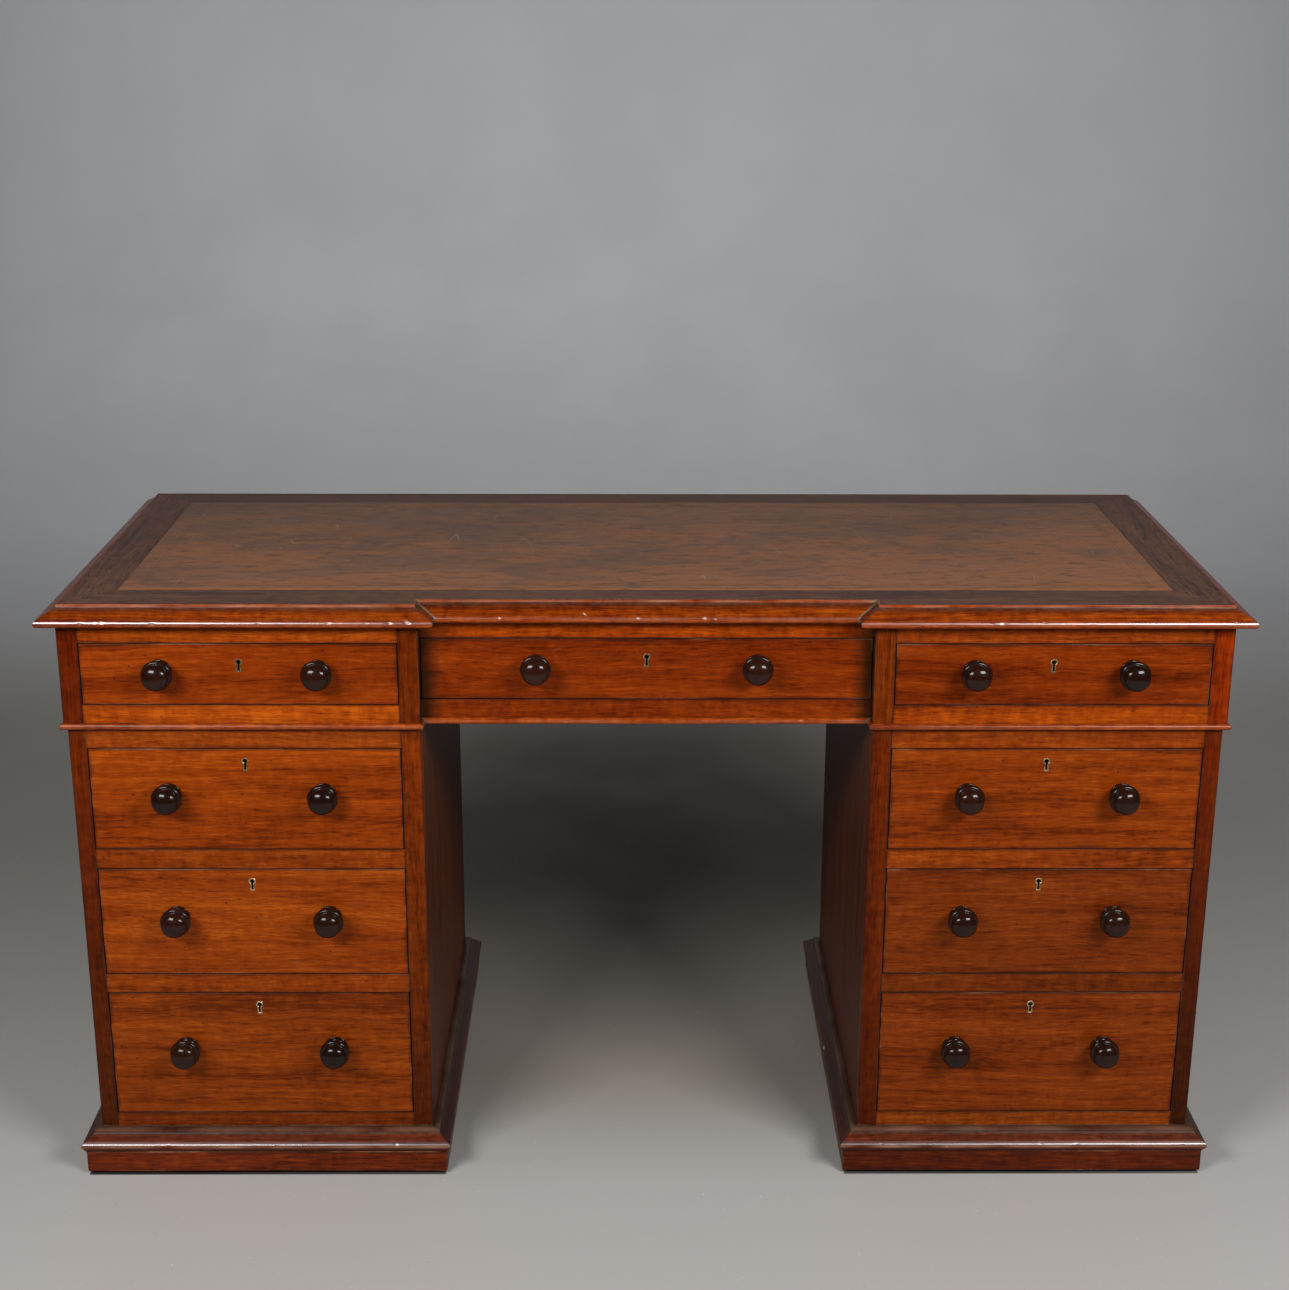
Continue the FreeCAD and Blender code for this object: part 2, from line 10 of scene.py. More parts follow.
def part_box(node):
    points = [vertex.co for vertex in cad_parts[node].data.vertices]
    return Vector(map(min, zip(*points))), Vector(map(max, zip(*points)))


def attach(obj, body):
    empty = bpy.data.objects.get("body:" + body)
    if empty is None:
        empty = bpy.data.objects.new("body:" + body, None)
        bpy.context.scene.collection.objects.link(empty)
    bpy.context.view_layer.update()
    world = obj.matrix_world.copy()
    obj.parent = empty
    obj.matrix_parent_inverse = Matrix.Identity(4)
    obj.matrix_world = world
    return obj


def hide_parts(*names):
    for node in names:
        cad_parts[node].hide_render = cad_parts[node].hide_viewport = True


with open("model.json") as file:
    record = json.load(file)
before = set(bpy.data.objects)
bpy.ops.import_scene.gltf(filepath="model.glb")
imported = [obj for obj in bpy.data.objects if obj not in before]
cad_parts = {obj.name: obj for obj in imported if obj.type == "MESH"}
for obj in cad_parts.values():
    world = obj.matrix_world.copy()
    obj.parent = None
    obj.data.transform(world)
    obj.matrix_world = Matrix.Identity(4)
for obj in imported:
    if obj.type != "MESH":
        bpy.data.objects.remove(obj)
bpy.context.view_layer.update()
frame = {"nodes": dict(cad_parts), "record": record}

# A pedestal desk: polished mahogany, a leather writing panel, turned knobs and brass locks.
# Metres throughout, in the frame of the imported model.

record = frame["record"]
bodyOf = {node: body for body, members in record["behaviour"]["bodies"].items() for node in members}
slotOf = {part["node"]: part["material_slot"] for part in record["subparts"]}
drawerNames = [node[:-len("_drawer_front")] for node in sorted(bodyOf) if node.endswith("_drawer_front")]
millimetre = 0.001
up = Vector((0, 0, 1))


# Shader building

def plug(tree, value, socket):
    if isinstance(value, bpy.types.NodeSocket):
        tree.links.new(value, socket)
    else:
        socket.default_value = value


def addNode(tree, kind, settings=None, sockets=None):
    node = tree.nodes.new(kind)
    for name, value in (settings or {}).items():
        setattr(node, name, value)
    for name, value in (sockets or {}).items():
        plug(tree, value, node.inputs[name])
    return node


def maths(tree, operation, first, second=0.0):
    return addNode(tree, "ShaderNodeMath", {"operation": operation}, {0: first, 1: second}).outputs[0]


def product(tree, first, *rest):
    for value in rest:
        first = maths(tree, "MULTIPLY", first, value)
    return first


def total(tree, first, *rest):
    for value in rest:
        first = maths(tree, "ADD", first, value)
    return first


# How far a value is from its middle, times an amount
def swing(tree, value, amount, middle=0.5):
    return product(tree, maths(tree, "SUBTRACT", value, middle), amount)


def smooth(tree, value, low, high, start=0.0, end=1.0):
    sockets = {"Value": value, "From Min": low, "From Max": high, "To Min": start, "To Max": end}
    return addNode(tree, "ShaderNodeMapRange", {"interpolation_type": "SMOOTHSTEP"}, sockets).outputs[0]


def mixColours(tree, share, first, second, mode="MIX"):
    node = addNode(tree, "ShaderNodeMix", {"data_type": "RGBA", "blend_type": mode},
                   {0: share, 6: first, 7: second})
    return node.outputs[2]


# Colours laid one over another, each with its own share
def layered(tree, colour, *layers):
    for share, over in layers:
        colour = mixColours(tree, share, colour, over)
    return colour


def vectorMaths(tree, operation, first, second):
    return addNode(tree, "ShaderNodeVectorMath", {"operation": operation},
                   {0: first, 1: second}).outputs[0]


def stretched(tree, vector, scale):
    return vectorMaths(tree, "MULTIPLY", vector, scale)


def partsOf(tree, vector):
    return addNode(tree, "ShaderNodeSeparateXYZ", None, {0: vector}).outputs


# Noise on a place that is stretched first
def noiseAt(tree, place, scale, detail=2.0, roughness=0.5, output="Fac"):
    sockets = {"Vector": stretched(tree, place, scale), "Scale": 1.0, "Detail": detail,
               "Roughness": roughness}
    return addNode(tree, "ShaderNodeTexNoise", None, sockets).outputs[output]


def attribute(tree, name, output="Fac"):
    return addNode(tree, "ShaderNodeAttribute", {"attribute_name": name}).outputs[output]


def objectPlace(tree):
    return addNode(tree, "ShaderNodeTexCoord").outputs["Object"]


def newGroup(name, inputs, outputs):
    tree = bpy.data.node_groups.new(name, "ShaderNodeTree")
    kinds = {1: "NodeSocketFloat", 3: "NodeSocketVector", 4: "NodeSocketColor"}
    for direction, sockets in (("INPUT", inputs), ("OUTPUT", outputs)):
        for label, value in sockets.items():
            size = len(value) if isinstance(value, tuple) else 1
            socket = tree.interface.new_socket(label, in_out=direction, socket_type=kinds[size])
            if direction == "INPUT":
                socket.default_value = value
    return tree, tree.nodes.new("NodeGroupInput").outputs, tree.nodes.new("NodeGroupOutput").inputs


def useGroup(tree, group, sockets):
    node = tree.nodes.new("ShaderNodeGroup")
    node.node_tree = group
    for name, value in sockets.items():
        plug(tree, value, node.inputs[name])
    return node.outputs


def rgb(red, green, blue):
    return (red, green, blue, 1.0)


# Wood with its grain along X of the place that it is given
def makeWoodGrain():
    black = rgb(0, 0, 0)
    tree, given, result = newGroup(
        "woodGrain",
        {"Place": (0.0, 0.0, 0.0), "Pale": black, "Middle": black, "Deep": black,
         "Bands": 1.0, "Streaks": 1.0, "Figure": 1.0, "Pores": 1.0},
        {"Color": black, "Height": 0.0, "Tone": 0.0})
    drift = noiseAt(tree, given["Place"], (1.9, 5.0, 5.0), 2.0, 0.5, "Color")
    drift = stretched(tree, vectorMaths(tree, "SUBTRACT", drift, (0.5, 0.5, 0.5)), (0.0, 0.045, 0.045))
    place = vectorMaths(tree, "ADD", given["Place"], drift)

    bands = noiseAt(tree, place, (1.6, 34.0, 34.0), 2.0, 0.55)
    streaks = noiseAt(tree, place, (4.0, 210.0, 210.0), 3.0, 0.7)
    dabs = noiseAt(tree, place, (30.0, 380.0, 380.0), 2.0, 0.6)
    fibres = noiseAt(tree, place, (30.0, 950.0, 950.0), 2.0, 0.6)
    figure = noiseAt(tree, place, (95.0, 60.0, 60.0), 2.0, 0.6)
    pores = noiseAt(tree, place, (85.0, 1500.0, 1500.0), 1.0, 0.5)
    flecks = noiseAt(tree, place, (40.0, 480.0, 480.0), 2.0, 0.5)

    tone = total(tree, 0.5, swing(tree, bands, given["Bands"]))
    for layer, amount in ((streaks, "Streaks"), (dabs, "Streaks"), (figure, "Figure")):
        tone = total(tree, tone, product(tree, swing(tree, layer, given[amount]), 1.2))
    tone = total(tree, tone, swing(tree, fibres, 0.9))

    holes = product(tree, smooth(tree, pores, 0.56, 0.68), given["Pores"])
    dashes = product(tree, smooth(tree, flecks, 0.6, 0.74), given["Pores"])
    colour = layered(tree, given["Deep"], (smooth(tree, tone, 0.12, 0.52), given["Middle"]),
                     (smooth(tree, tone, 0.48, 0.95), given["Pale"]),
                     (product(tree, holes, 0.45), given["Deep"]),
                     (product(tree, dashes, 0.5), given["Deep"]))

    height = maths(tree, "SUBTRACT", product(tree, fibres, 0.012), product(tree, holes, 0.02))
    plug(tree, colour, result["Color"])
    plug(tree, height, result["Height"])
    plug(tree, tone, result["Tone"])
    return tree


# On a board, the distance to its nearest edge is the middle one of three distances to its faces
def makeEdgeDistance():
    tree, given, result = newGroup("edgeDistance", {}, {"Distance": 0.0})
    nearest = vectorMaths(tree, "MINIMUM", attribute(tree, "fromLow", "Vector"),
                          attribute(tree, "toHigh", "Vector"))
    split = partsOf(tree, nearest)
    lower = maths(tree, "MINIMUM", split[0], split[1])
    higher = maths(tree, "MAXIMUM", split[0], split[1])
    middle = maths(tree, "MAXIMUM", lower, maths(tree, "MINIMUM", higher, split[2]))
    plug(tree, middle, result["Distance"])
    return tree


# Where a board's edges are rubbed pale, and where they are darkened beside them: dark polish, and painted
# shade of the gaps between the boards
def makeEdgeWearAndShade():
    tree, given, result = newGroup(
        "edgeWear",
        {"Place": (0.0, 0.0, 0.0), "Distance": 0.0, "Rub": 0.5, "Grime": 0.5, "Grime Width": 0.01},
        {"Rubbed": 0.0, "Dirty": 0.0})
    patches = noiseAt(tree, given["Place"], (9.0, 30.0, 30.0), 3.0, 0.6)
    ragged = noiseAt(tree, given["Place"], (120.0, 300.0, 300.0), 2.0, 0.6)
    reach = total(tree, given["Distance"], swing(tree, ragged, 0.0022))
    thin = smooth(tree, reach, 0.0017, 0.0004)
    rubbed = product(tree, thin, smooth(tree, patches, 0.50, 0.70), given["Rub"])
    loose = product(tree, swing(tree, patches, given["Grime Width"]), 3.2)
    near = maths(tree, "DIVIDE", total(tree, given["Distance"], loose), given["Grime Width"])
    # A narrow dark line keeps to the edge itself, and follows it straight: painted shade of the gap at the
    # edge
    line = smooth(tree, given["Distance"], 0.0016, 0.0006)
    wide = product(tree, smooth(tree, near, 1.0, -0.2), 0.7)
    dirtAndShade = product(tree, maths(tree, "MAXIMUM", wide, line), given["Grime"])
    plug(tree, rubbed, result["Rubbed"])
    plug(tree, dirtAndShade, result["Dirty"])
    return tree


# Ink spots and bruises, a few on each board
def makeSpecks():
    tree, given, result = newGroup("specks", {"Place": (0.0, 0.0, 0.0), "Amount": 0.3}, {"Mask": 0.0})
    masks = []
    for scale, radius in (((22.0, 34.0, 34.0), 0.05), ((55.0, 80.0, 80.0), 0.075)):
        spots = addNode(tree, "ShaderNodeTexVoronoi", None,
                        {"Vector": stretched(tree, given["Place"], scale), "Scale": 1.0})
        chance = addNode(tree, "ShaderNodeSeparateColor", None, {0: spots.outputs["Color"]}).outputs[0]
        near = smooth(tree, spots.outputs["Distance"], radius * 1.7, radius * 0.5)
        masks.append(product(tree, near, smooth(tree, chance, 0.62, 0.66)))
    plug(tree, product(tree, maths(tree, "MAXIMUM", *masks), given["Amount"]), result["Mask"])
    return tree


# Fine scratches: the thin lines where a slow noise passes through its middle
def makeScratches():
    tree, given, result = newGroup("scratches", {"Place": (0.0, 0.0, 0.0), "Amount": 0.3}, {"Mask": 0.0})
    masks = []
    for scale in ((26.0, 4.0, 9.0), (5.0, 31.0, 22.0)):
        slow = noiseAt(tree, given["Place"], scale, 0.0)
        thin = smooth(tree, maths(tree, "ABSOLUTE", maths(tree, "SUBTRACT", slow, 0.5)), 0.006, 0.001)
        patches = noiseAt(tree, given["Place"], tuple(4 * part for part in scale[::-1]))
        masks.append(product(tree, thin, smooth(tree, patches, 0.56, 0.7)))
    plug(tree, product(tree, maths(tree, "MAXIMUM", *masks), given["Amount"]), result["Mask"])
    return tree


woodGrain = makeWoodGrain()
edgeDistance = makeEdgeDistance()
edgeWear = makeEdgeWearAndShade()
specks = makeSpecks()
scratches = makeScratches()


# Finishes of the woods. A board reads its edges from its attributes, a moulding its creases and nose.
redMahogany = dict(
    pale=rgb(0.33, 0.060, 0.0036), middle=rgb(0.208, 0.030, 0.0014), deep=rgb(0.090, 0.011, 0.0007),
    pores=0.9, roughness=0.34, specular=0.18, coat=0.02, coatRoughness=0.12, edges=True)
woodLooks = {
    "frontMahogany": dict(
        redMahogany, bands=1.2, streaks=0.65, figure=0.35, rub=0.3, grime=0.8, grimeWidth=0.005,
        specks=0.8),
    "frameMahogany": dict(
        redMahogany, bands=0.9, streaks=0.6, figure=0.7, rub=0.12, grime=0.6, grimeWidth=0.004,
        specks=0.7),
    "mouldingMahogany": dict(
        pale=rgb(0.36, 0.066, 0.004), middle=rgb(0.21, 0.030, 0.0016), deep=rgb(0.09, 0.010, 0.0008),
        bands=0.9, streaks=0.8, figure=0.7, pores=0.9, specks=0.9,
        roughness=0.28, specular=0.16, coat=1.0, coatRoughness=0.30, coatIor=2.3, edges=False),
    "carcassMahogany": dict(
        pale=rgb(0.125, 0.032, 0.010), middle=rgb(0.068, 0.016, 0.0055), deep=rgb(0.026, 0.007, 0.003),
        bands=0.8, streaks=1.1, figure=0.4, pores=0.9, rub=0.2, grime=0.6, grimeWidth=0.02,
        specks=0.4, roughness=0.40, specular=0.10, coat=0.0, coatRoughness=0.2, edges=True),
    "plinthMahogany": dict(
        pale=rgb(0.17, 0.030, 0.008), middle=rgb(0.088, 0.0145, 0.004), deep=rgb(0.032, 0.006, 0.002),
        bands=0.7, streaks=0.8, figure=0.5, pores=0.8, specks=0.8,
        roughness=0.32, specular=0.12, coat=1.0, coatRoughness=0.32, coatIor=2.2, edges=False),
    "plinthBoard": dict(
        pale=rgb(0.18, 0.030, 0.005), middle=rgb(0.098, 0.014, 0.003), deep=rgb(0.040, 0.006, 0.002),
        bands=0.8, streaks=0.9, figure=0.5, pores=0.8, rub=0.8, grime=0.7, grimeWidth=0.006,
        specks=0.8, roughness=0.36, specular=0.20, coat=0.05, coatRoughness=0.2, edges=True),
    "borderMahogany": dict(
        pale=rgb(0.165, 0.078, 0.048), middle=rgb(0.104, 0.050, 0.032), deep=rgb(0.045, 0.021, 0.015),
        bands=0.7, streaks=1.1, figure=0.5, pores=1.0, rub=0.2, grime=0.3, grimeWidth=0.006,
        specks=0.3, roughness=0.50, specular=0.14, coat=0.0, coatRoughness=0.3, edges=True),
    "innerPine": dict(
        pale=rgb(0.52, 0.33, 0.16), middle=rgb(0.40, 0.23, 0.10), deep=rgb(0.19, 0.09, 0.035),
        bands=0.9, streaks=0.6, figure=0.2, pores=0.2, rub=0.0, grime=0.4, grimeWidth=0.012,
        specks=0.3, roughness=0.62, specular=0.3, coat=0.0, coatRoughness=0.3, edges=True),
    "drawerLining": dict(
        pale=rgb(0.42, 0.25, 0.12), middle=rgb(0.31, 0.17, 0.075), deep=rgb(0.13, 0.06, 0.025),
        bands=0.7, streaks=0.7, figure=0.3, pores=0.6, rub=0.0, grime=0.5, grimeWidth=0.012,
        specks=0.4, roughness=0.55, specular=0.3, coat=0.0, coatRoughness=0.3, edges=True),
}
wearAndShadeColours = {
    "rubbed": rgb(0.40, 0.22, 0.14),
    "grime": rgb(0.014, 0.007, 0.005),
    "speck": rgb(0.018, 0.007, 0.005),
    "dust": rgb(0.15, 0.125, 0.085),
    "chip": rgb(0.80, 0.68, 0.56),
    "scratch": rgb(0.38, 0.20, 0.12),
    "gloss": rgb(1.0, 0.55, 0.30),
    # The recess colour is painted shade for the corners of the recess
    "recess": rgb(0.022, 0.010, 0.003),
}


def newMaterial(name):
    material = bpy.data.materials.new(name)
    material.use_nodes = True
    return material, material.node_tree, material.node_tree.nodes["Principled BSDF"].inputs


def bump(tree, height):
    sockets = {"Height": height, "Strength": 1.0, "Distance": millimetre}
    return addNode(tree, "ShaderNodeBump", None, sockets).outputs[0]


# Dust along the foot of a board that stands on a moulding
def footDust(tree, place):
    height = partsOf(tree, attribute(tree, "fromLow", "Vector"))[2]
    patches = noiseAt(tree, place, (60.0, 60.0, 60.0), 2.0, 0.6)
    reach = total(tree, height, swing(tree, patches, 0.008))
    return product(tree, smooth(tree, reach, 0.0038, 0.0008), attribute(tree, "footDust"), 0.25)


recessLook = {"across": (0.250, 0.279), "inwards": (-0.2798, -0.266), "upwards": (0.60, 0.61),
              "share": 0.85}


# Painted shade in the two corners where the frieze steps back
def recessShade(tree):
    place = objectPlace(tree)
    split = partsOf(tree, place)
    patches = noiseAt(tree, place, (12.0, 12.0, 40.0), 2.0, 0.6)
    reach = total(tree, maths(tree, "ABSOLUTE", split[0]), swing(tree, patches, 0.02))
    near = smooth(tree, reach, *recessLook["across"])
    deep = smooth(tree, split[1], *recessLook["inwards"])
    return product(tree, near, deep, smooth(tree, split[2], *recessLook["upwards"]), recessLook["share"])


def makeWood(name):
    look = woodLooks[name]
    material, tree, surface = newMaterial(name)
    place = attribute(tree, "grainPlace", "Vector")
    labels = ("Pale", "Middle", "Deep", "Bands", "Streaks", "Figure", "Pores")
    grain = useGroup(tree, woodGrain, {"Place": place, **{label: look[label.lower()] for label in labels}})
    tint = attribute(tree, "tint", "Vector")
    colour = mixColours(tree, 1.0, grain["Color"], tint, "MULTIPLY")
    if look["edges"]:
        distance = useGroup(tree, edgeDistance, {})["Distance"]
        wear = useGroup(tree, edgeWear, {
            "Place": place, "Distance": distance, "Rub": look["rub"], "Grime": look["grime"],
            "Grime Width": look["grimeWidth"]})
        dirtAndShade, rubbed = wear["Dirty"], wear["Rubbed"]
        dust = footDust(tree, place)
    else:
        dirtAndShade, rubbed, dust = (attribute(tree, value) for value in ("crease", "rubbed", "dust"))
    marks = useGroup(tree, specks, {"Place": place, "Amount": look["specks"]})["Mask"]
    lines = useGroup(tree, scratches, {"Place": place, "Amount": 0.06})["Mask"]
    # The first layer darkens edges and creases, dirt with painted shade; the recess layer is painted shade
    layers = [(dirtAndShade, "grime")]
    if name in ("frontMahogany", "frameMahogany"):
        layers.append((recessShade(tree), "recess"))
    layers += [(marks, "speck"), (lines, "scratch"), (rubbed, "rubbed"), (dust, "dust")]
    if not look["edges"]:
        layers.append((attribute(tree, "chip"), "chip"))
    colour = layered(tree, colour, *((share, wearAndShadeColours[label]) for share, label in layers))
    rough = total(tree, look["roughness"] - 0.05, product(tree, grain["Tone"], 0.1),
                  product(tree, dust, 0.4), product(tree, rubbed, 0.15))
    plug(tree, colour, surface["Base Color"])
    plug(tree, rough, surface["Roughness"])
    surface["Specular IOR Level"].default_value = look["specular"]
    if look["edges"]:
        surface["Specular Tint"].default_value = wearAndShadeColours["gloss"]
        surface["Coat Weight"].default_value = look["coat"]
    else:
        surface["Coat IOR"].default_value = look["coatIor"]
        plug(tree, product(tree, attribute(tree, "polish"), look["coat"]), surface["Coat Weight"])
    surface["Coat Roughness"].default_value = look["coatRoughness"]
    uneven = noiseAt(tree, place, (7.0, 60.0, 60.0))
    height = total(tree, grain["Height"], product(tree, uneven, 0.05), product(tree, lines, -0.03),
                   product(tree, marks, -0.06))
    plug(tree, bump(tree, height), surface["Normal"])
    return material


knobLook = {
    "dark": rgb(0.0062, 0.0026, 0.0016), "red": rgb(0.034, 0.0085, 0.004),
    "streak": rgb(0.003, 0.0014, 0.001),
    "roughness": 0.30, "specular": 0.03, "coat": 0.42, "coatRoughness": 0.12,
}


def makeKnobWood():
    material, tree, surface = newMaterial("knobRosewood")
    place = attribute(tree, "grainPlace", "Vector")
    tint = attribute(tree, "knobTint")
    streaks = noiseAt(tree, place, (60.0, 900.0, 900.0), 3.0, 0.6)
    cloud = noiseAt(tree, place, (60.0, 60.0, 60.0))
    share = product(tree, tint, smooth(tree, cloud, 0.3, 0.7, 0.6, 1.0))
    # The crease attribute paints shade at the knob's crease, its neck and its base
    colour = layered(tree, knobLook["dark"], (share, knobLook["red"]),
                     (smooth(tree, streaks, 0.5, 0.68, 0.0, 0.7), knobLook["streak"]),
                     (attribute(tree, "crease"), wearAndShadeColours["grime"]))
    rough = total(tree, knobLook["roughness"], product(tree, cloud, 0.12))
    plug(tree, colour, surface["Base Color"])
    plug(tree, rough, surface["Roughness"])
    surface["Specular IOR Level"].default_value = knobLook["specular"]
    surface["Coat Weight"].default_value = knobLook["coat"]
    surface["Coat Roughness"].default_value = knobLook["coatRoughness"]
    plug(tree, bump(tree, product(tree, streaks, 0.02)), surface["Normal"])
    return material


leatherLook = {
    "dark": rgb(0.078, 0.040, 0.024), "middle": rgb(0.163, 0.074, 0.038),
    "light": rgb(0.275, 0.108, 0.043), "worn": rgb(0.34, 0.12, 0.042), "grey": rgb(0.115, 0.068, 0.047),
    "scuff": rgb(0.40, 0.25, 0.15), "line": rgb(0.045, 0.020, 0.013),
    "tone": 0.70, "roughness": 0.5, "specular": 0.3,
    "frontFade": (-0.05, -0.215, 0.0, 0.24), "rightFade": (0.05, 0.5, 0.0, 0.16),
    "frontStrip": (-0.185, -0.235), "backField": (0.02, 0.20),
}


def makeLeather():
    material, tree, surface = newMaterial("writingLeather")
    place = objectPlace(tree)
    across, depth = partsOf(tree, place)[:2]
    clouds = noiseAt(tree, place, (3.2, 6.0, 1.0), 4.0, 0.6)
    blotches = noiseAt(tree, place, (9.0, 22.0, 1.0), 4.0, 0.62)
    drag = noiseAt(tree, place, (14.0, 160.0, 1.0), 3.0, 0.65)
    streaks = noiseAt(tree, place, (34.0, 110.0, 1.0), 4.0, 0.78)
    pits = smooth(tree, noiseAt(tree, place, (900.0, 900.0, 900.0), 3.0, 0.6), 0.5, 0.66)
    # The front edge and the right side have faded most
    faded = total(tree, smooth(tree, depth, *leatherLook["frontFade"]),
                  smooth(tree, across, *leatherLook["rightFade"]))
    tone = total(tree, faded, swing(tree, clouds, 2.3, 0.46), swing(tree, blotches, 1.9),
                 swing(tree, drag, 0.9), leatherLook["tone"])
    # A worn red-orange strip lies along the front, and a greyer field at the back
    strip = smooth(tree, total(tree, depth, swing(tree, drag, 0.05)), *leatherLook["frontStrip"])
    back = product(tree, smooth(tree, depth, *leatherLook["backField"]),
                   smooth(tree, blotches, 0.35, 0.6, 0.2, 0.5))
    lines = useGroup(tree, scratches, {"Place": place, "Amount": 0.6})["Mask"]
    spotPlace = vectorMaths(tree, "ADD", place, (3.1, 1.7, 0.0))
    spots = useGroup(tree, specks, {"Place": spotPlace, "Amount": 0.35})["Mask"]
    layers = [
        (smooth(tree, tone, 0.0, 0.5), "middle"), (smooth(tree, tone, 0.5, 1.1), "light"),
        (product(tree, strip, 0.45), "worn"), (back, "grey"),
        (smooth(tree, streaks, 0.49, 0.66, 0.0, 0.75), "dark"),
        (smooth(tree, streaks, 0.47, 0.32, 0.0, 0.60), "light"), (product(tree, pits, 0.3), "dark"),
        (lines, "scuff"), (spots, "scuff"), (attribute(tree, "tooled"), "line")]
    colour = layered(tree, leatherLook["dark"], *((share, leatherLook[label]) for share, label in layers))
    plug(tree, colour, surface["Base Color"])
    surface["Specular IOR Level"].default_value = leatherLook["specular"]
    plug(tree, total(tree, leatherLook["roughness"], swing(tree, blotches, 0.3)), surface["Roughness"])
    height = total(tree, product(tree, blotches, 0.10), product(tree, pits, -0.03),
                   product(tree, lines, -0.05))
    plug(tree, bump(tree, height), surface["Normal"])
    return material


brassLook = {"bright": rgb(0.66, 0.52, 0.30), "dull": rgb(0.20, 0.15, 0.085), "roughness": 0.34}


def makeBrass():
    material, tree, surface = newMaterial("agedBrass")
    place = objectPlace(tree)
    clouds = noiseAt(tree, place, (190.0, 190.0, 190.0), 3.0, 0.6)
    wide = noiseAt(tree, place, (6.0, 6.0, 6.0), 1.0)
    fine = noiseAt(tree, place, (2600.0, 900.0, 900.0))
    tarnish = smooth(tree, total(tree, clouds, maths(tree, "SUBTRACT", wide, 0.5)), 0.36, 0.64)
    plug(tree, mixColours(tree, tarnish, brassLook["bright"], brassLook["dull"]), surface["Base Color"])
    surface["Metallic"].default_value = 1.0
    plug(tree, total(tree, brassLook["roughness"], product(tree, tarnish, 0.25)), surface["Roughness"])
    plug(tree, bump(tree, product(tree, fine, 0.01)), surface["Normal"])
    return material


materials = {name: makeWood(name) for name in woodLooks}
materials.update(knobRosewood=makeKnobWood(), writingLeather=makeLeather(), agedBrass=makeBrass())
print("finishes made:", len(materials))


# Mesh building: a pile gathers solids, with a value for each point under each attribute's name

def newPile():
    return {"points": [], "faces": [], "smooth": [], "attributes": {}}


# The faces are all smooth or all flat, or there is a list that says which are smooth
def addToPile(pile, points, faces, smoothFaces, attributes):
    first = len(pile["points"])
    pile["points"] += [tuple(spot) for spot in points]
    pile["faces"] += [[first + index for index in face] for face in faces]
    pile["smooth"] += smoothFaces if isinstance(smoothFaces, list) else [smoothFaces] * len(faces)
    for name, values in attributes.items():
        pile["attributes"].setdefault(name, []).extend(values)


# Faces between closed rings of points that follow one another
def ringFaces(rings, size, closed=False):
    faces = []
    for ring in range(rings if closed else rings - 1):
        here, there = ring * size, (ring + 1) % rings * size
        for index in range(size):
            after = (index + 1) % size
            faces.append([here + index, here + after, there + after, there + index])
    return faces


def linkObject(name, data):
    made = bpy.data.objects.new(name, data)
    bpy.context.scene.collection.objects.link(made)
    return made


def pieceFromPile(name, pile, material, outward=False):
    mesh = bpy.data.meshes.new(name)
    mesh.from_pydata(pile["points"], [], pile["faces"])
    mesh.polygons.foreach_set("use_smooth", pile["smooth"])
    for label, values in pile["attributes"].items():
        isVector = isinstance(values[0], Vector)
        layer = mesh.attributes.new(label, "FLOAT_VECTOR" if isVector else "FLOAT", "POINT")
        if isVector:
            layer.data.foreach_set("vector", [part for value in values for part in value])
        else:
            layer.data.foreach_set("value", values)
    mesh.materials.append(material)
    if outward:
        turnOutward(mesh)
    mesh.update()
    return linkObject(name, mesh)


def turnOutward(mesh):
    work = bmesh.new()
    work.from_mesh(mesh)
    bmesh.ops.recalc_face_normals(work, faces=work.faces)
    work.to_mesh(mesh)
    work.free()


def pieceName(node):
    first, *rest = node.split("_")
    return first + "".join(word.capitalize() for word in rest)


def standFor(piece, *replaced):
    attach(piece, bodyOf[replaced[0]])
    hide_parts(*replaced)
    return piece


# A node's triangles come one solid after another, and a solid is whole when its shell has closed
def solidsOf(node):
    mesh = frame["nodes"][node].data
    grid = 1e5
    solids = []
    corners, faces, openEdges = {}, [], set()
    for polygon in mesh.polygons:
        loop = []
        for index in polygon.vertices:
            key = tuple(round(part * grid) for part in mesh.vertices[index].co)
            loop.append(corners.setdefault(key, len(corners)))
        faces.append(loop)
        for start, end in zip(loop, loop[1:] + loop[:1]):
            if (end, start) in openEdges:
                openEdges.discard((end, start))
            else:
                openEdges.add((start, end))
        if not openEdges:
            solids.append(([Vector(key) / grid for key in corners], faces))
            corners, faces = {}, []
    return solids


def boxOf(points):
    low = Vector([min(spot[axis] for spot in points) for axis in range(3)])
    high = Vector([max(spot[axis] for spot in points) for axis in range(3)])
    return low, high


softening = {"flat": math.radians(1), "sharp": math.radians(28), "shortest": 0.004, "steps": 2}


def softenSolid(points, faces, width):
    work = bmesh.new()
    spots = [work.verts.new(spot) for spot in points]
    for face in faces:
        if len(set(face)) == 3:
            work.faces.new([spots[index] for index in face])
    bmesh.ops.dissolve_limit(work, angle_limit=softening["flat"], verts=work.verts[:],
                             edges=work.edges[:])
    edges = [edge for edge in work.edges if len(edge.link_faces) == 2
             and edge.calc_face_angle() > softening["sharp"]
             and edge.calc_length() > softening["shortest"]]
    made = bmesh.ops.bevel(work, geom=edges, offset=width, segments=softening["steps"], profile=0.5,
                           affect="EDGES", clamp_overlap=True)
    rounded = set(made["faces"])
    work.verts.index_update()
    shaped = [vertex.co.copy() for vertex in work.verts]
    loops = [[vertex.index for vertex in face.verts] for face in work.faces]
    smoothFaces = [face in rounded for face in work.faces]
    work.free()
    return shaped, loops, smoothFaces


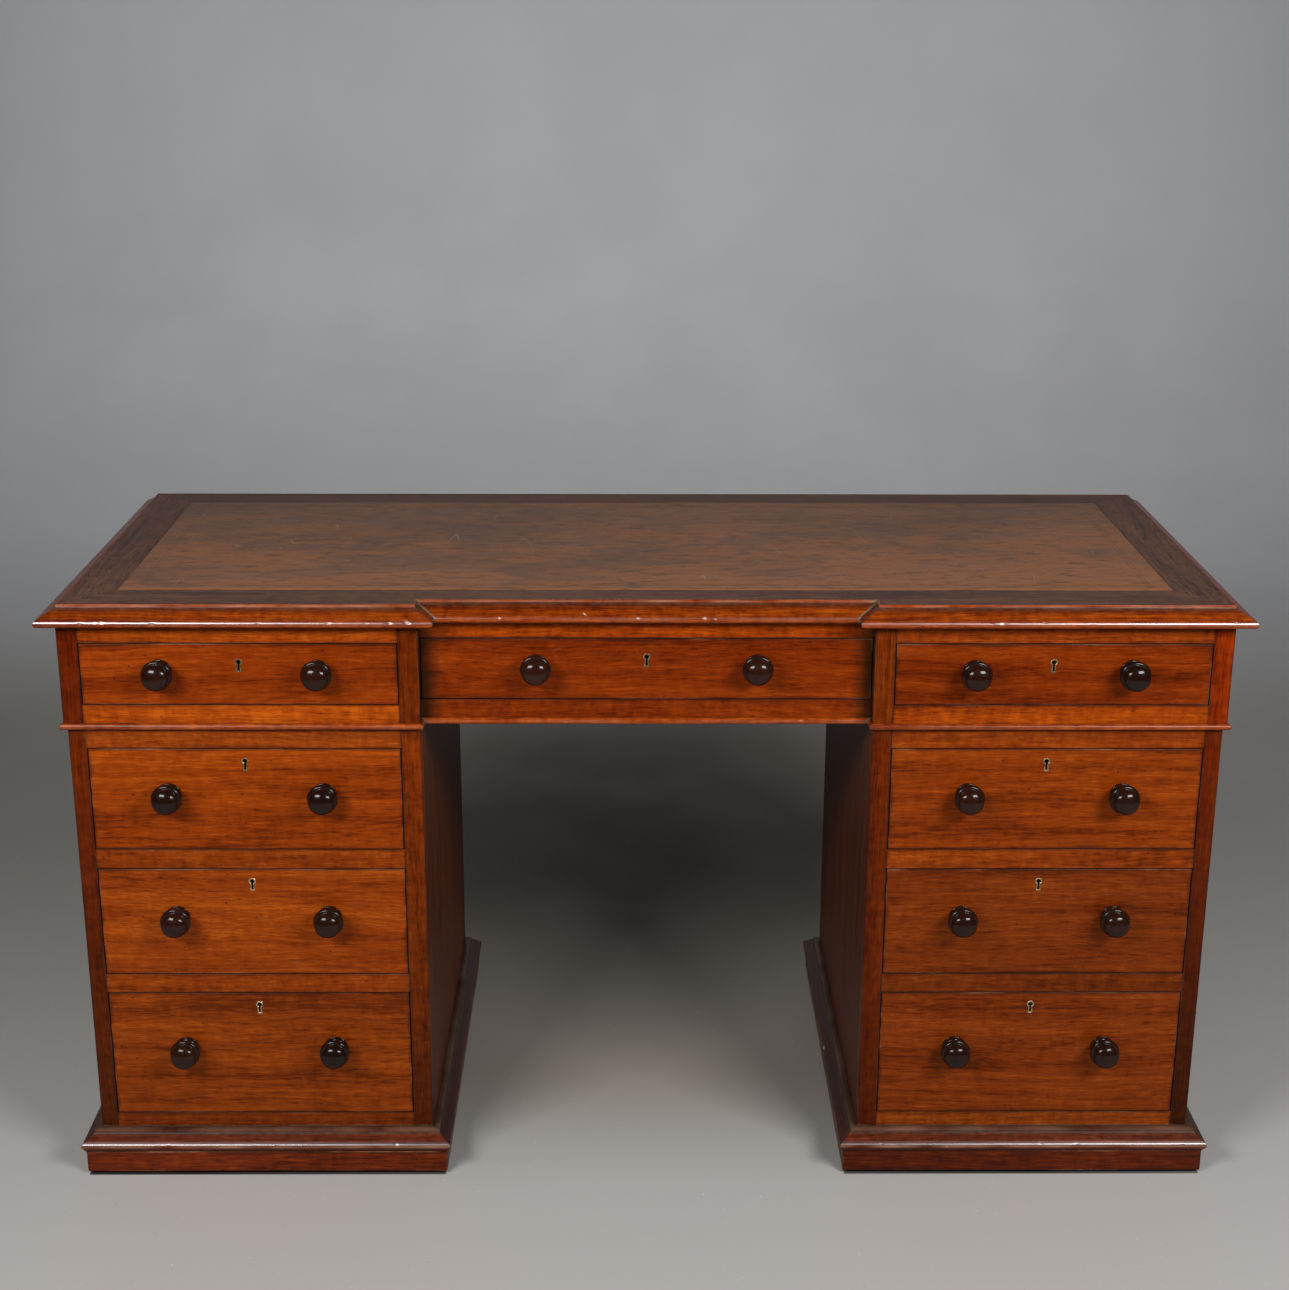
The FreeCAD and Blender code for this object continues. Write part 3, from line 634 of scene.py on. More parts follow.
# A tint is one number, or red, green and blue
def tintColour(tint):
    return Vector(tint if isinstance(tint, tuple) else (tint, tint, tint))


# Each board comes from another part of the tree
def chanceShift(chance):
    return Vector((chance.uniform(0, 9), chance.uniform(0, 3), chance.uniform(0, 3)))


# The grain runs along a board's longest side.
# A board is one tint, or a list of two: one at its low end and one at its high end.
def boardAttributes(points, low, high, chance, tint, dusty=0.0):
    size = high - low
    along, across, through = sorted(range(3), key=lambda axis: -size[axis])
    shift = chanceShift(chance)
    first, last = (tintColour(end) for end in (tint if isinstance(tint, list) else (tint, tint)))
    return {
        "grainPlace": [Vector((spot[along], spot[through], spot[across])) + shift for spot in points],
        "fromLow": [spot - low for spot in points],
        "toHigh": [high - spot for spot in points],
        "tint": [first + (last - first) * (spot - low)[along] / size[along] for spot in points],
        "footDust": [dusty] * len(points),
    }


boardLooks = {
    "front_mahogany": dict(finish="frontMahogany", softEdge=0.0008, tintSpread=0.0),
    "frame_mahogany": dict(finish="frameMahogany", softEdge=0.0004, tintSpread=0.0),
    "carcass_mahogany": dict(finish="carcassMahogany", softEdge=0.0008, tintSpread=0.06),
    "plinth_mahogany": dict(finish="plinthBoard", softEdge=0.0012, tintSpread=0.0),
    "border_mahogany": dict(finish="borderMahogany", softEdge=0.0003, tintSpread=0.06),
    "inner_pine": dict(finish="innerPine", softEdge=0.0008, tintSpread=0.1),
    "drawer_lining": dict(finish="drawerLining", softEdge=0.0004, tintSpread=0.08),
    "aged_brass": dict(finish="agedBrass", softEdge=0.0002, tintSpread=0.0),
}


def addBoard(pile, points, faces, slot, chance, tint, dusty=0.0):
    low, high = boxOf(points)
    shaped, loops, smoothFaces = softenSolid(points, faces, boardLooks[slot]["softEdge"])
    addToPile(pile, shaped, loops, smoothFaces, boardAttributes(shaped, low, high, chance, tint, dusty))


# Each board of a node as a softened copy, in one piece that stands for the node
def workBoards(node, seed, tints=(1.0,)):
    chance = random.Random(seed)
    slot = slotOf[node]
    spread = boardLooks[slot]["tintSpread"]
    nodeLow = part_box(node)[0].z
    pile = newPile()
    for index, (points, faces) in enumerate(solidsOf(node)):
        tint = tints[index % len(tints)]
        if spread:
            tint = tint * chance.uniform(1 - spread, 1 + spread)
        atFoot = slot == "frame_mahogany" and boxOf(points)[0].z < nodeLow + millimetre
        addBoard(pile, points, faces, slot, chance, tint, 1.0 if atFoot else 0.0)
    standFor(pieceFromPile(pieceName(node), pile, materials[boardLooks[slot]["finish"]]), node)


# Tints of the boards in their order in the node: uprights first in the face frames, then rails upwards.
# They hold tone and painted light and shade, and the pedestals' uprights are darker at their feet.
boardTints = {
    "frieze_face_frame": (
        (0.41, 0.26, 0.2), (0.5, 0.43, 0.33), (0.88, 0.56, 0.2), (0.62, 0.6, 0.5), (1.31, 1.36, 1.0),
        (1.2, 1.22, 1.2), (0.7, 0.56, 0.42), (1.25, 1.15, 0.7), (1.18, 1.16, 0.7), (1.02, 1.06, 1.5)),
    "left_pedestal_face_frame": (
        [(0.24, 0.23, 0.4), (0.84, 0.79, 0.47)], [(0.26, 0.27, 0.5), (0.49, 0.36, 0.25)],
        (0.59, 0.59, 0.8), (0.94, 0.97, 1.1), (0.9, 0.93, 0.9), (1.04, 1.1, 1.3)),
    "right_pedestal_face_frame": (
        [(0.26, 0.19, 0.15), (0.55, 0.46, 0.3)], [(0.12, 0.14, 0.3), (0.41, 0.25, 0.14)],
        (0.94, 1.1, 1.4), (0.58, 0.61, 0.9), (0.94, 0.97, 1.0), (0.95, 0.94, 0.9)),
}
for index, (node, tints) in enumerate(boardTints.items()):
    workBoards(node, 11 + index, tints)
plainNodes = ("frieze_case", "left_pedestal_case", "right_pedestal_case", "top_banding", "top_board",
              "drawer_runners")
for index, node in enumerate(plainNodes):
    workBoards(node, 14 + index)

# Each drawer front's tint holds its tone with painted light and shade
frontToneAndShade = {"left_frieze": (0.84, 0.72, 0.6), "centre_frieze": (0.76, 0.61, 0.5),
              "right_frieze": (0.69, 0.55, 0.4), "left_top": (1.05, 1.03, 0.8),
              "left_middle": (1.03, 1.08, 1.2), "left_bottom": (0.95, 1.06, 1.3),
              "right_top": (0.92, 0.92, 0.9), "right_middle": (0.66, 0.68, 1.1),
              "right_bottom": (0.77, 0.81, 1.2)}
for index, name in enumerate(drawerNames):
    workBoards(name + "_drawer_front", 101 + index, (frontToneAndShade[name],))
    workBoards(name + "_drawer_box", 201 + index)
print("boards softened")


# Mouldings: a closed section carried round a plan, mitred at its corners

def quarter(centre, radii, start, end, steps):
    points = []
    for step in range(steps + 1):
        turn = math.radians(start + (end - start) * step / steps)
        points.append((centre[0] + radii[0] * math.cos(turn), centre[1] + radii[1] * math.sin(turn)))
    return points


def between(start, end, share):
    return tuple(first + (last - first) * share for first, last in zip(start, end))


# The angle on a round nose where a straight line from a foot meets it, on its left (1) or right (-1)
def noseAngle(foot, nose, radius, side):
    out, height = nose[0] - foot[0], nose[1] - foot[1]
    turn = math.atan2(height, out) + side * math.asin(radius / math.hypot(out, height))
    return math.degrees(turn) + side * 90


def sectionNormals(section):
    normals = []
    for index, here in enumerate(section):
        before, after = section[index - 1], section[(index + 1) % len(section)]
        across = Vector((before[1] - after[1], after[0] - before[0]))
        normals.append(across.normalized() if across.length > 0 else Vector((0, 0)))
    return normals


def signedTurn(before, after):
    return math.atan2(before.cross(after).z, before.dot(after))


# The places along a run: close at its ends, for the mitre joint, then evenly spaced
def stations(length, spacing):
    ends = [0.0, 0.0005, 0.0015, 0.003, 0.005]
    count = max(1, round((length - 2 * ends[-1]) / spacing))
    middle = [ends[-1] + (length - 2 * ends[-1]) * step / count for step in range(count + 1)]
    return [place / length for place in ends[:-1] + middle + [length - end for end in ends[-2::-1]]]


def smoothFall(distance, reach):
    share = max(0.0, min(1.0, 1 - distance / reach))
    return share * share * (3 - 2 * share)


def nearTo(value, centre, reach):
    return smoothFall(abs(value - centre), reach)


runWear = {"tints": (0.92, 1.06), "joint": 0.0007, "crease": 0.85, "recess": 0.005, "waveScale": 45,
           "dustScale": 190, "patchScale": 23, "gritScale": 150}


# One straight run of a moulding, from mitre to mitre, with the wear at each of its points
def addMouldingRun(pile, corners, index, section, look, dents, chance):
    before, start, end, after = (corners[(index + step) % len(corners)] for step in (-1, 0, 1, 2))
    along = (end - start).normalized()
    outward = along.cross(up)
    turns = [signedTurn(start - before, along), signedTurn(along, after - end)]
    length = (end - start).length
    isFront = abs(along.x) > 0.5 and outward.y < 0
    isDeep = isFront and start.y > min(corner.y for corner in corners) + runWear["recess"]
    shares = stations(length, look["frontSpacing"] if isFront else look["sideSpacing"])
    normals = sectionNormals(section)
    shift = chanceShift(chance)
    # Side and back runs are tinted darker: painted shade
    tint = tintColour(chance.uniform(*runWear["tints"]) * (1.0 if isFront else look["sideTint"]))
    shine = look["deepPolish"] if isDeep else 1.0 if isFront else look["sidePolish"]
    worn = 1.0 if isFront else look["sideRub"]
    points, values = [], {}
    for share in shares:
        toCorners = (share * length, (1 - share) * length)
        for (out, height), normal in zip(section, normals):
            first = -out * math.tan(turns[0] / 2)
            last = length + out * math.tan(turns[1] / 2)
            place = first + (last - first) * share
            spot = start + along * place + outward * out + up * height
            push = outward * normal.x + up * normal.y
            wave = max(0.0, 1 + noise.noise(spot * runWear["waveScale"])) * look["wave"]
            hollow, chip = dentAt(spot, dents)
            points.append(spot - push * (wave + hollow))
            # The crease value darkens the mitre joints, and dirt and painted shade in the creases
            crease = max(look["crease"](out, height), smoothFall(min(toCorners), runWear["joint"]))
            # Dust gathers in the inner corners
            reach = look["dustReach"] * (0.7 + 0.6 * noise.noise(spot * runWear["dustScale"]))
            dusty = max(smoothFall(distance, reach) if turn < 0 else 0.0
                        for distance, turn in zip(toCorners, turns))
            patch = 0.5 + 1.1 * noise.noise(spot * runWear["patchScale"])
            grit = 0.5 + 0.9 * noise.noise(spot * runWear["gritScale"])
            wear = {
                "grainPlace": Vector((place, out, height)) + shift,
                "tint": tint,
                "crease": crease * runWear["crease"],
                "rubbed": min(1.0, max(0.0, worn * look["rub"](out, height) * patch)),
                "dust": min(1.0, max(dusty, look["dust"](out, height) * grit)),
                "chip": chip,
                "polish": shine * look["polish"](out, height),
            }
            for label, value in wear.items():
                values.setdefault(label, []).append(value)
    size = len(section)
    faces = ringFaces(len(shares), size)
    smoothFaces = [True] * len(faces) + [False] * 2
    faces += [[first + column for column in range(size)] for first in (0, len(points) - size)]
    addToPile(pile, points, faces, smoothFaces, values)


# The depth of the hollows at a point, and whether the polish has chipped there
def dentAt(spot, dents):
    depth, chip = 0.0, 0.0
    for centre, radius, deep, isChip in dents:
        if abs(spot.x - centre.x) < radius and abs(spot.y - centre.y) < radius:
            fall = smoothFall((spot - centre).length, radius)
            depth = max(depth, deep * fall)
            chip = max(chip, isChip * smoothFall((spot - centre).length, radius * 0.75))
    return depth, chip


def chanceDents(corners, look, chance):
    dents = []
    for index, start in enumerate(corners):
        end = corners[(index + 1) % len(corners)]
        outward = (end - start).normalized().cross(up)
        length = (end - start).length
        for step in range(round(length * look["dentsPerMetre"])):
            out, height = chance.choice(look["dentPlaces"])
            centre = start + (end - start) * chance.random() + outward * out + up * height
            radius = chance.uniform(*look["dentRadius"])
            isChip = 0.7 if chance.random() < look["chipShare"] else 0.0
            dents.append((centre, radius, radius * chance.uniform(0.10, 0.26), isChip))
    return dents


def makeMoulding(name, corners, section, look, seed, material, replaced):
    chance = random.Random(seed)
    pile = newPile()
    dents = chanceDents(corners, look, chance)
    for x, y, height, radius, depth, isChip in look.get("knownDents", ()):
        dents.append((Vector((x, y, height)), radius, depth, isChip))
    for index in range(len(corners)):
        addMouldingRun(pile, corners, index, section, look, dents, chance)
    standFor(pieceFromPile(name, pile, materials[material], True), replaced)


topLow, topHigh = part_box("top_edge_moulding")
beadLow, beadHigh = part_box("waist_bead")
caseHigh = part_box("frieze_case")[1]
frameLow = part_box("frieze_face_frame")[0]
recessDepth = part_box("centre_frieze_drawer_front")[0].y - frameLow.y
recessHalf = 0.280


# The frieze's outline, set out from its faces: straight at the sides and back, recessed in front
def friezeOutline(offset):
    half, recess = caseHigh.x + offset, recessHalf - offset
    front, back = frameLow.y - offset, caseHigh.y + offset
    flat = [(-half, front), (-recess, front), (-recess, front + recessDepth),
            (recess, front + recessDepth), (recess, front), (half, front), (half, back), (-half, back)]
    return [Vector((x, y, 0)) for x, y in flat]


topProfile = {"width": 0.026, "overhang": 0.021, "land": 0.003, "drop": 0.004, "noseRadius": 0.0052,
              "soft": 0.0007}


def topSection():
    high, low = topHigh.z, topLow.z
    land, radius, soft = topProfile["land"], topProfile["noseRadius"], topProfile["soft"]
    foot = (land, high - topProfile["drop"])
    nose = (topProfile["width"] - radius, low + radius)
    section = [(0.0, low), (0.0, high), (land - soft, high)]
    section += quarter((land - soft, high - soft), (soft, soft), 60, 0, 2)
    section += [(land, foot[1] + 1.6 * soft), (land + 0.3 * soft, foot[1] + 0.5 * soft)]
    noseRound = quarter(nose, (radius, radius), noseAngle(foot, nose, radius, 1), -90, 18)
    shares = (0.05, 0.12, 0.24, 0.36, 0.48, 0.6, 0.72, 0.85)
    return section + [between(foot, noseRound[0], share) for share in shares] + noseRound


# Old polish, dust and painted shade lie at the foot of the arris, and painted shade darkens the upper
# slope; the arris and the nose are rubbed
def topDirtAndShade(out, height):
    foot = 0.85 * nearTo(out, 0.0042, 0.0014)
    slope = 0.84 * smoothFall(max(0.0, out - 0.0035), 0.0135)
    return max(foot, slope) * (topLow.z + 0.001 < height < topHigh.z - 0.0030)


def topRub(out, height):
    riser = nearTo(out, 0.0030, 0.0008) * (topHigh.z - 0.0036 < height < topHigh.z - 0.0004)
    nose = nearTo(height, topLow.z + topProfile["noseRadius"], 0.0035) * (out > 0.02)
    return 0.4 * riser + 0.15 * nose


def topPolish(out, height):
    return nearTo(height, 0.7650, 0.0050) * (out > 0.018)


def topDust(out, height):
    return 0.3 * nearTo(out, 0.0045, 0.0018) * (height < topHigh.z - 0.0035)


# Dents by chance lie at any of the places on the section. Known dents are each given by the place,
# radius and depth of the hollow, and how far the polish has chipped.
topLook = {
    "frontSpacing": 0.002, "sideSpacing": 0.006, "wave": 0.00007,
    "crease": topDirtAndShade, "rub": topRub, "polish": topPolish, "dust": topDust,
    "sidePolish": 0.25, "deepPolish": 0.35, "sideTint": 0.7, "sideRub": 0.25,
    "dustReach": 0.006, "dentsPerMetre": 16, "dentRadius": (0.0016, 0.0036), "chipShare": 0.12,
    "dentPlaces": [(0.0260, 0.7617), (0.0256, 0.7640), (0.0245, 0.7654), (0.0200, 0.7680),
                   (0.0257, 0.7598)],
    "knownDents": [
        (-0.684, -0.301, 0.7625, 0.0038, 0.0009, 0.2), (-0.597, -0.301, 0.7620, 0.0045, 0.0010, 0.2),
        (-0.469, -0.301, 0.7625, 0.0030, 0.0007, 0.1), (-0.385, -0.301, 0.7635, 0.0026, 0.0006, 0.4),
        (-0.312, -0.301, 0.7635, 0.0036, 0.0009, 0.0), (-0.290, -0.300, 0.7650, 0.0045, 0.0012, 0.8),
        (0.083, -0.279, 0.7630, 0.0022, 0.0004, 0.8),
    ],
}
makeMoulding("topEdgeMoulding", friezeOutline(topProfile["overhang"] - topProfile["width"]), topSection(),
             topLook, 5, "mouldingMahogany", "top_edge_moulding")


def beadSection():
    middle, half = (beadLow.z + beadHigh.z) / 2, (beadHigh.z - beadLow.z) / 2
    return quarter((0.0, middle), (0.0045, half), 90, -90, 14)


beadLook = {
    "frontSpacing": 0.004, "sideSpacing": 0.008, "wave": 0.00006,
    "polish": lambda out, height: 0.04,
    "sidePolish": 1.0, "deepPolish": 1.0, "sideTint": 0.8, "sideRub": 0.6,
    # Painted shade in the creases where the bead meets the boards
    "crease": lambda out, height: 0.9 * smoothFall(out, 0.0012),
    "rub": lambda out, height: 0.12 * smoothFall(0.0045 - out, 0.0012),
    "dust": lambda out, height: 0.4 * smoothFall(out, 0.0014) * (height > beadLow.z + 0.004),
    "dustReach": 0.005, "dentsPerMetre": 5, "dentRadius": (0.001, 0.002), "chipShare": 0.1,
    "dentPlaces": [(0.0042, beadHigh.z - 0.003), (0.0045, beadHigh.z - 0.004)],
}
makeMoulding("waistBead", friezeOutline(0.0), beadSection(), beadLook, 6, "mouldingMahogany",
             "waist_bead")


# Plinths: a moulded cap over plain boards, with corner blocks inside

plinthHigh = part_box("left_plinth")[1].z
capSize = {"seat": 0.014, "flat": 0.009, "step": 0.0033, "nose": 0.0237, "noseRadius": 0.005,
           "board": 0.0188, "boardHigh": 0.034, "noseHigh": 0.043, "soft": 0.0006}


def capSection(high):
    size = capSize
    soft, radius = size["soft"], size["noseRadius"]
    foot, low = (size["flat"], high - size["step"]), (size["board"], size["boardHigh"])
    nose = (size["nose"] - radius, size["noseHigh"])
    section = [(-size["seat"], size["boardHigh"]), (-size["seat"], high), (size["flat"] - soft, high)]
    section += quarter((size["flat"] - soft, high - soft), (soft, soft), 60, 0, 2)
    section += [(foot[0], foot[1] + 1.6 * soft), (foot[0] + 0.3 * soft, foot[1] + 0.4 * soft)]
    slopeTurn, underTurn = noseAngle(foot, nose, radius, 1), noseAngle(low, nose, radius, -1)
    noseRound = quarter(nose, (radius, radius), slopeTurn, underTurn, 12)
    section += [between(foot, noseRound[0], share) for share in (0.06, 0.15, 0.3, 0.45, 0.6, 0.75, 0.88)]
    return section + noseRound + [between(noseRound[-1], low, share) for share in (0.3, 0.65, 1.0)]


# Dust lies on the cap's flat band and in the step under it, and the nose is rubbed. The flat band is
# darkened by dirt, with painted shade in its inner corner and in the step.
def capDirtAndShade(out, height):
    flat = (0.45 + 0.4 * nearTo(out, 0.0, 0.0015)) * (height > plinthHigh - 0.001)
    return max(flat, 0.95 * nearTo(out, 0.0097, 0.0016) * (height < plinthHigh - 0.002))


def capRub(out, height):
    nose = nearTo(height, capSize["noseHigh"], 0.004) * (out > 0.02)
    return 0.55 * nose + 0.3 * nearTo(out, 0.0085, 0.0010)


def capPolish(out, height):
    return nearTo(height, 0.0468, 0.0045) * (out > 0.019)


def capDust(out, height):
    step = nearTo(out, 0.0102, 0.002) * (height < plinthHigh - 0.002)
    return 0.16 * (height > plinthHigh - 0.0016) * (out > 0) + 0.2 * step


plinthLook = {
    "frontSpacing": 0.002, "sideSpacing": 0.006, "wave": 0.00009,
    "crease": capDirtAndShade, "rub": capRub, "polish": capPolish, "dust": capDust,
    "sidePolish": 0.05, "deepPolish": 1.0, "sideTint": 0.35, "sideRub": 0.6, "dustReach": 0.003,
    "dentsPerMetre": 20, "dentRadius": (0.0016, 0.0040), "chipShare": 0.10,
    "dentPlaces": [(0.0237, 0.0430), (0.0233, 0.0452), (0.0220, 0.0466), (0.0231, 0.0403)],
    "knownDents": [(-0.327, -0.298, 0.0455, 0.0026, 0.0006, 1.0)],
    "boardTints": {"left": (1.12, 0.95, 0.75), "right": (0.76, 0.62, 0.6), "hidden": (0.4, 0.38, 0.35)},
}


def makePlinth(side, seed):
    node = side + "_plinth"
    solids = solidsOf(node)
    low, high = boxOf([spot for points, faces in solids for spot in points])
    nose = capSize["nose"]
    left, right, front, back = low.x + nose, high.x - nose, low.y + nose, high.y - nose
    corners = [Vector(spot) for spot in
               ((left, front, 0), (right, front, 0), (right, back, 0), (left, back, 0))]
    makeMoulding(side + "PlinthCap", corners, capSection(high.z), plinthLook, seed, "plinthMahogany", node)
    chance = random.Random(seed + 1)
    pile = newPile()
    for points, faces in solids:
        boardLow, boardHigh = boxOf(points)
        if boardHigh.z > capSize["boardHigh"] + millimetre:
            continue
        isFront = boardLow.y < low.y + 0.02 and boardHigh.x - boardLow.x > 0.3
        # Plinth boards other than the fronts are tinted darker: painted shade
        tint = plinthLook["boardTints"][side if isFront else "hidden"]
        addBoard(pile, points, faces, "plinth_mahogany", chance, tint)
    boards = pieceFromPile(side + "PlinthBoards", pile, materials["plinthBoard"])
    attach(boards, bodyOf[node])


makePlinth("left", 31)
makePlinth("right", 41)
print("mouldings run")


# Leather: nested rectangles carry the edge roll and two tooled lines, with a cockled field inside

leatherPanel = {"edgeRoll": 0.0008, "lines": (0.0235, 0.0285), "lineWidth": 0.0009, "lineDepth": 0.00018,
                "lineShade": 0.28, "cell": 0.006, "cockle": 0.00016, "flatCells": 5, "seed": 3.7}


def makeLeatherPanel():
    look = leatherPanel
    low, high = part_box("writing_leather")
    top, roll, half = high.z - look["cockle"], look["edgeRoll"], look["lineWidth"] / 2
    # Each ring is an inset from the edge, a height and a shade: the shade darkens the tooled lines, and is
    # painted shade on the rolled edge
    rings = [(0.0, low.z, 0.0), (0.0, top - roll, 0.6), (roll * 0.3, top - roll * 0.3, 0.4),
             (roll, top, 0.0)]
    for inset in look["lines"]:
        sunk = top - look["lineDepth"]
        rings += [(inset - 2 * half, top, 0.0), (inset - half, sunk, look["lineShade"]),
                  (inset + half, sunk, look["lineShade"]), (inset + 2 * half, top, 0.0)]
    fieldInset = look["lines"][-1] + 4 * half
    rings.append((fieldInset, top, 0.0))
    columns, rows = (round((high[axis] - low[axis]) / look["cell"]) for axis in (0, 1))
    # The cells round the rim, from the front left corner
    rim = [(step, 0) for step in range(columns)] + [(columns, step) for step in range(rows)]
    rim += [(columns - step, rows) for step in range(columns)]
    rim += [(0, rows - step) for step in range(rows)]

    def flatSpot(column, row, inset):
        return (low.x + inset + (high.x - low.x - 2 * inset) * column / columns,
                low.y + inset + (high.y - low.y - 2 * inset) * row / rows)

    points = [(*flatSpot(*cell, inset), height) for inset, height, shade in rings for cell in rim]
    tooled = [shade for inset, height, shade in rings for cell in rim]
    faces = ringFaces(len(rings), len(rim)) + [list(range(len(rim)))[::-1]]

    # The field starts from the last ring
    grid = {cell: len(points) - len(rim) + index for index, cell in enumerate(rim)}
    for column in range(1, columns):
        for row in range(1, rows):
            x, y = flatSpot(column, row, fieldInset)
            edge = min(column, row, columns - column, rows - row)
            lift = noise.fractal(Vector((x * 9, y * 15, look["seed"])), 0.8, 2.1, 4)
            height = top + max(-1, min(1, lift)) * look["cockle"] * min(1, edge / look["flatCells"])
            grid[column, row] = len(points)
            points.append((x, y, height))
            tooled.append(0.0)
    for column in range(columns):
        for row in range(rows):
            faces.append([grid[column, row], grid[column + 1, row], grid[column + 1, row + 1],
                          grid[column, row + 1]])
    pile = newPile()
    addToPile(pile, points, faces, [len(face) == 4 for face in faces], {"tooled": tooled})
    standFor(pieceFromPile("writingLeatherPanel", pile, materials["writingLeather"], True),
             "writing_leather")


makeLeatherPanel()
print("leather laid")


# Geometry Nodes: turned pieces and screws

def nodeTree(name, inputs):
    tree = bpy.data.node_groups.new(name, "GeometryNodeTree")
    tree.interface.new_socket("Geometry", in_out="INPUT", socket_type="NodeSocketGeometry")
    sockets = {}
    for label, kind in inputs.items():
        sockets[label] = tree.interface.new_socket(label, in_out="INPUT", socket_type=kind).identifier
    tree.interface.new_socket("Geometry", in_out="OUTPUT", socket_type="NodeSocketGeometry")
    return tree, sockets, tree.nodes.new("NodeGroupInput").outputs


def finishTree(tree, copies, material):
    real = addNode(tree, "GeometryNodeRealizeInstances", None, {"Geometry": copies}).outputs[0]
    finished = addNode(tree, "GeometryNodeSetMaterial", None, {"Geometry": real, "Material": material})
    addNode(tree, "NodeGroupOutput", None, {"Geometry": finished.outputs[0]})


# A section of radius and length, turned about its axis, then set out in a row
def makeTurnedPieces():
    tree, sockets, given = nodeTree("turnedPieces", {
        "Segments": "NodeSocketInt", "First": "NodeSocketVector", "Step": "NodeSocketVector",
        "Count": "NodeSocketInt", "Turn": "NodeSocketRotation", "Seed": "NodeSocketInt",
        "Least": "NodeSocketFloat", "Most": "NodeSocketFloat", "Material": "NodeSocketMaterial"})
    section = addNode(tree, "GeometryNodeMeshToCurve", None, {"Mesh": given["Geometry"]}).outputs[0]
    circle = addNode(tree, "GeometryNodeCurvePrimitiveCircle", None,
                     {"Resolution": given["Segments"], "Radius": 1e-6}).outputs[0]
    turned = addNode(tree, "GeometryNodeCurveToMesh", None, {"Curve": circle, "Profile Curve": section})
    merged = addNode(tree, "GeometryNodeMergeByDistance", None,
                     {"Geometry": turned.outputs[0], "Distance": 1e-5}).outputs[0]
    row = addNode(tree, "GeometryNodeMeshLine", {"mode": "OFFSET"},
                  {"Count": given["Count"], "Start Location": given["First"], "Offset": given["Step"]})
    placed = addNode(tree, "GeometryNodeInstanceOnPoints", None,
                     {"Points": row.outputs[0], "Instance": merged, "Rotation": given["Turn"]})
    tint = addNode(tree, "FunctionNodeRandomValue", {"data_type": "FLOAT"},
                   {2: given["Least"], 3: given["Most"], "Seed": given["Seed"]})
    stored = addNode(tree, "GeometryNodeStoreNamedAttribute", {"data_type": "FLOAT", "domain": "INSTANCE"},
                     {"Geometry": placed.outputs[0], "Name": "knobTint", "Value": tint.outputs[1]})
    finishTree(tree, stored.outputs[0], given["Material"])
    return tree, sockets


# Copies of a screw at points that hold the direction each faces, every slot turned by chance
def makeScrewSetter():
    tree, sockets, given = nodeTree("setScrews", {
        "Screw": "NodeSocketObject", "Seed": "NodeSocketInt", "Material": "NodeSocketMaterial"})
    screw = addNode(tree, "GeometryNodeObjectInfo", None, {"Object": given["Screw"]}).outputs["Geometry"]
    facing = addNode(tree, "GeometryNodeInputNamedAttribute", {"data_type": "FLOAT_VECTOR"},
                     {"Name": "facing"}).outputs[0]
    aligned = addNode(tree, "FunctionNodeAlignRotationToVector", {"axis": "Z"}, {"Vector": facing})
    spin = addNode(tree, "FunctionNodeRandomValue", {"data_type": "FLOAT"},
                   {2: 0.0, 3: math.pi, "Seed": given["Seed"]})
    about = addNode(tree, "FunctionNodeAxisAngleToRotation", None, {"Angle": spin.outputs[1]})
    turned = addNode(tree, "FunctionNodeRotateRotation", {"rotation_space": "LOCAL"},
                     {0: aligned.outputs[0], 1: about.outputs[0]})
    placed = addNode(tree, "GeometryNodeInstanceOnPoints", None,
                     {"Points": given["Geometry"], "Instance": screw, "Rotation": turned.outputs[0]})
    finishTree(tree, placed.outputs[0], given["Material"])
    return tree, sockets


turnedPieces, turnedSockets = makeTurnedPieces()
screwSetter, screwSockets = makeScrewSetter()


# Runs a tree on a mesh and returns the result as a plain mesh
def grow(tree, sockets, mesh, values):
    carrier = linkObject("carrier", mesh)
    modifier = carrier.modifiers.new("grow", "NODES")
    modifier.node_group = tree
    for label, value in values.items():
        modifier[sockets[label]] = value
    bpy.context.view_layer.update()
    evaluated = carrier.evaluated_get(bpy.context.evaluated_depsgraph_get())
    grown = bpy.data.meshes.new_from_object(evaluated)
    carrier.modifiers.remove(modifier)
    bpy.data.objects.remove(carrier)
    return grown


# A section of radii and distances, as a line for the turning tree, which carries it up from the floor
def sectionLine(section):
    mesh = bpy.data.meshes.new("section")
    points = [(radius, -distance, 0.0) for radius, distance in section]
    mesh.from_pydata(points, [(index, index + 1) for index in range(len(points) - 1)], [])
    return mesh


knobShape = {"base": 0.0155, "baseDepth": 0.003, "neck": 0.0100, "neckPlace": 0.0092, "ring": 0.0192,
             "ringPlace": 0.0180, "ringHalf": 0.0034, "ringEdge": 0.0030, "crease": 0.0156,
             "creasePlace": 0.0217, "dome": 0.0165, "domePlace": 0.0276, "domeEdge": 0.0040,
             "projection": 0.0370, "segments": 72}


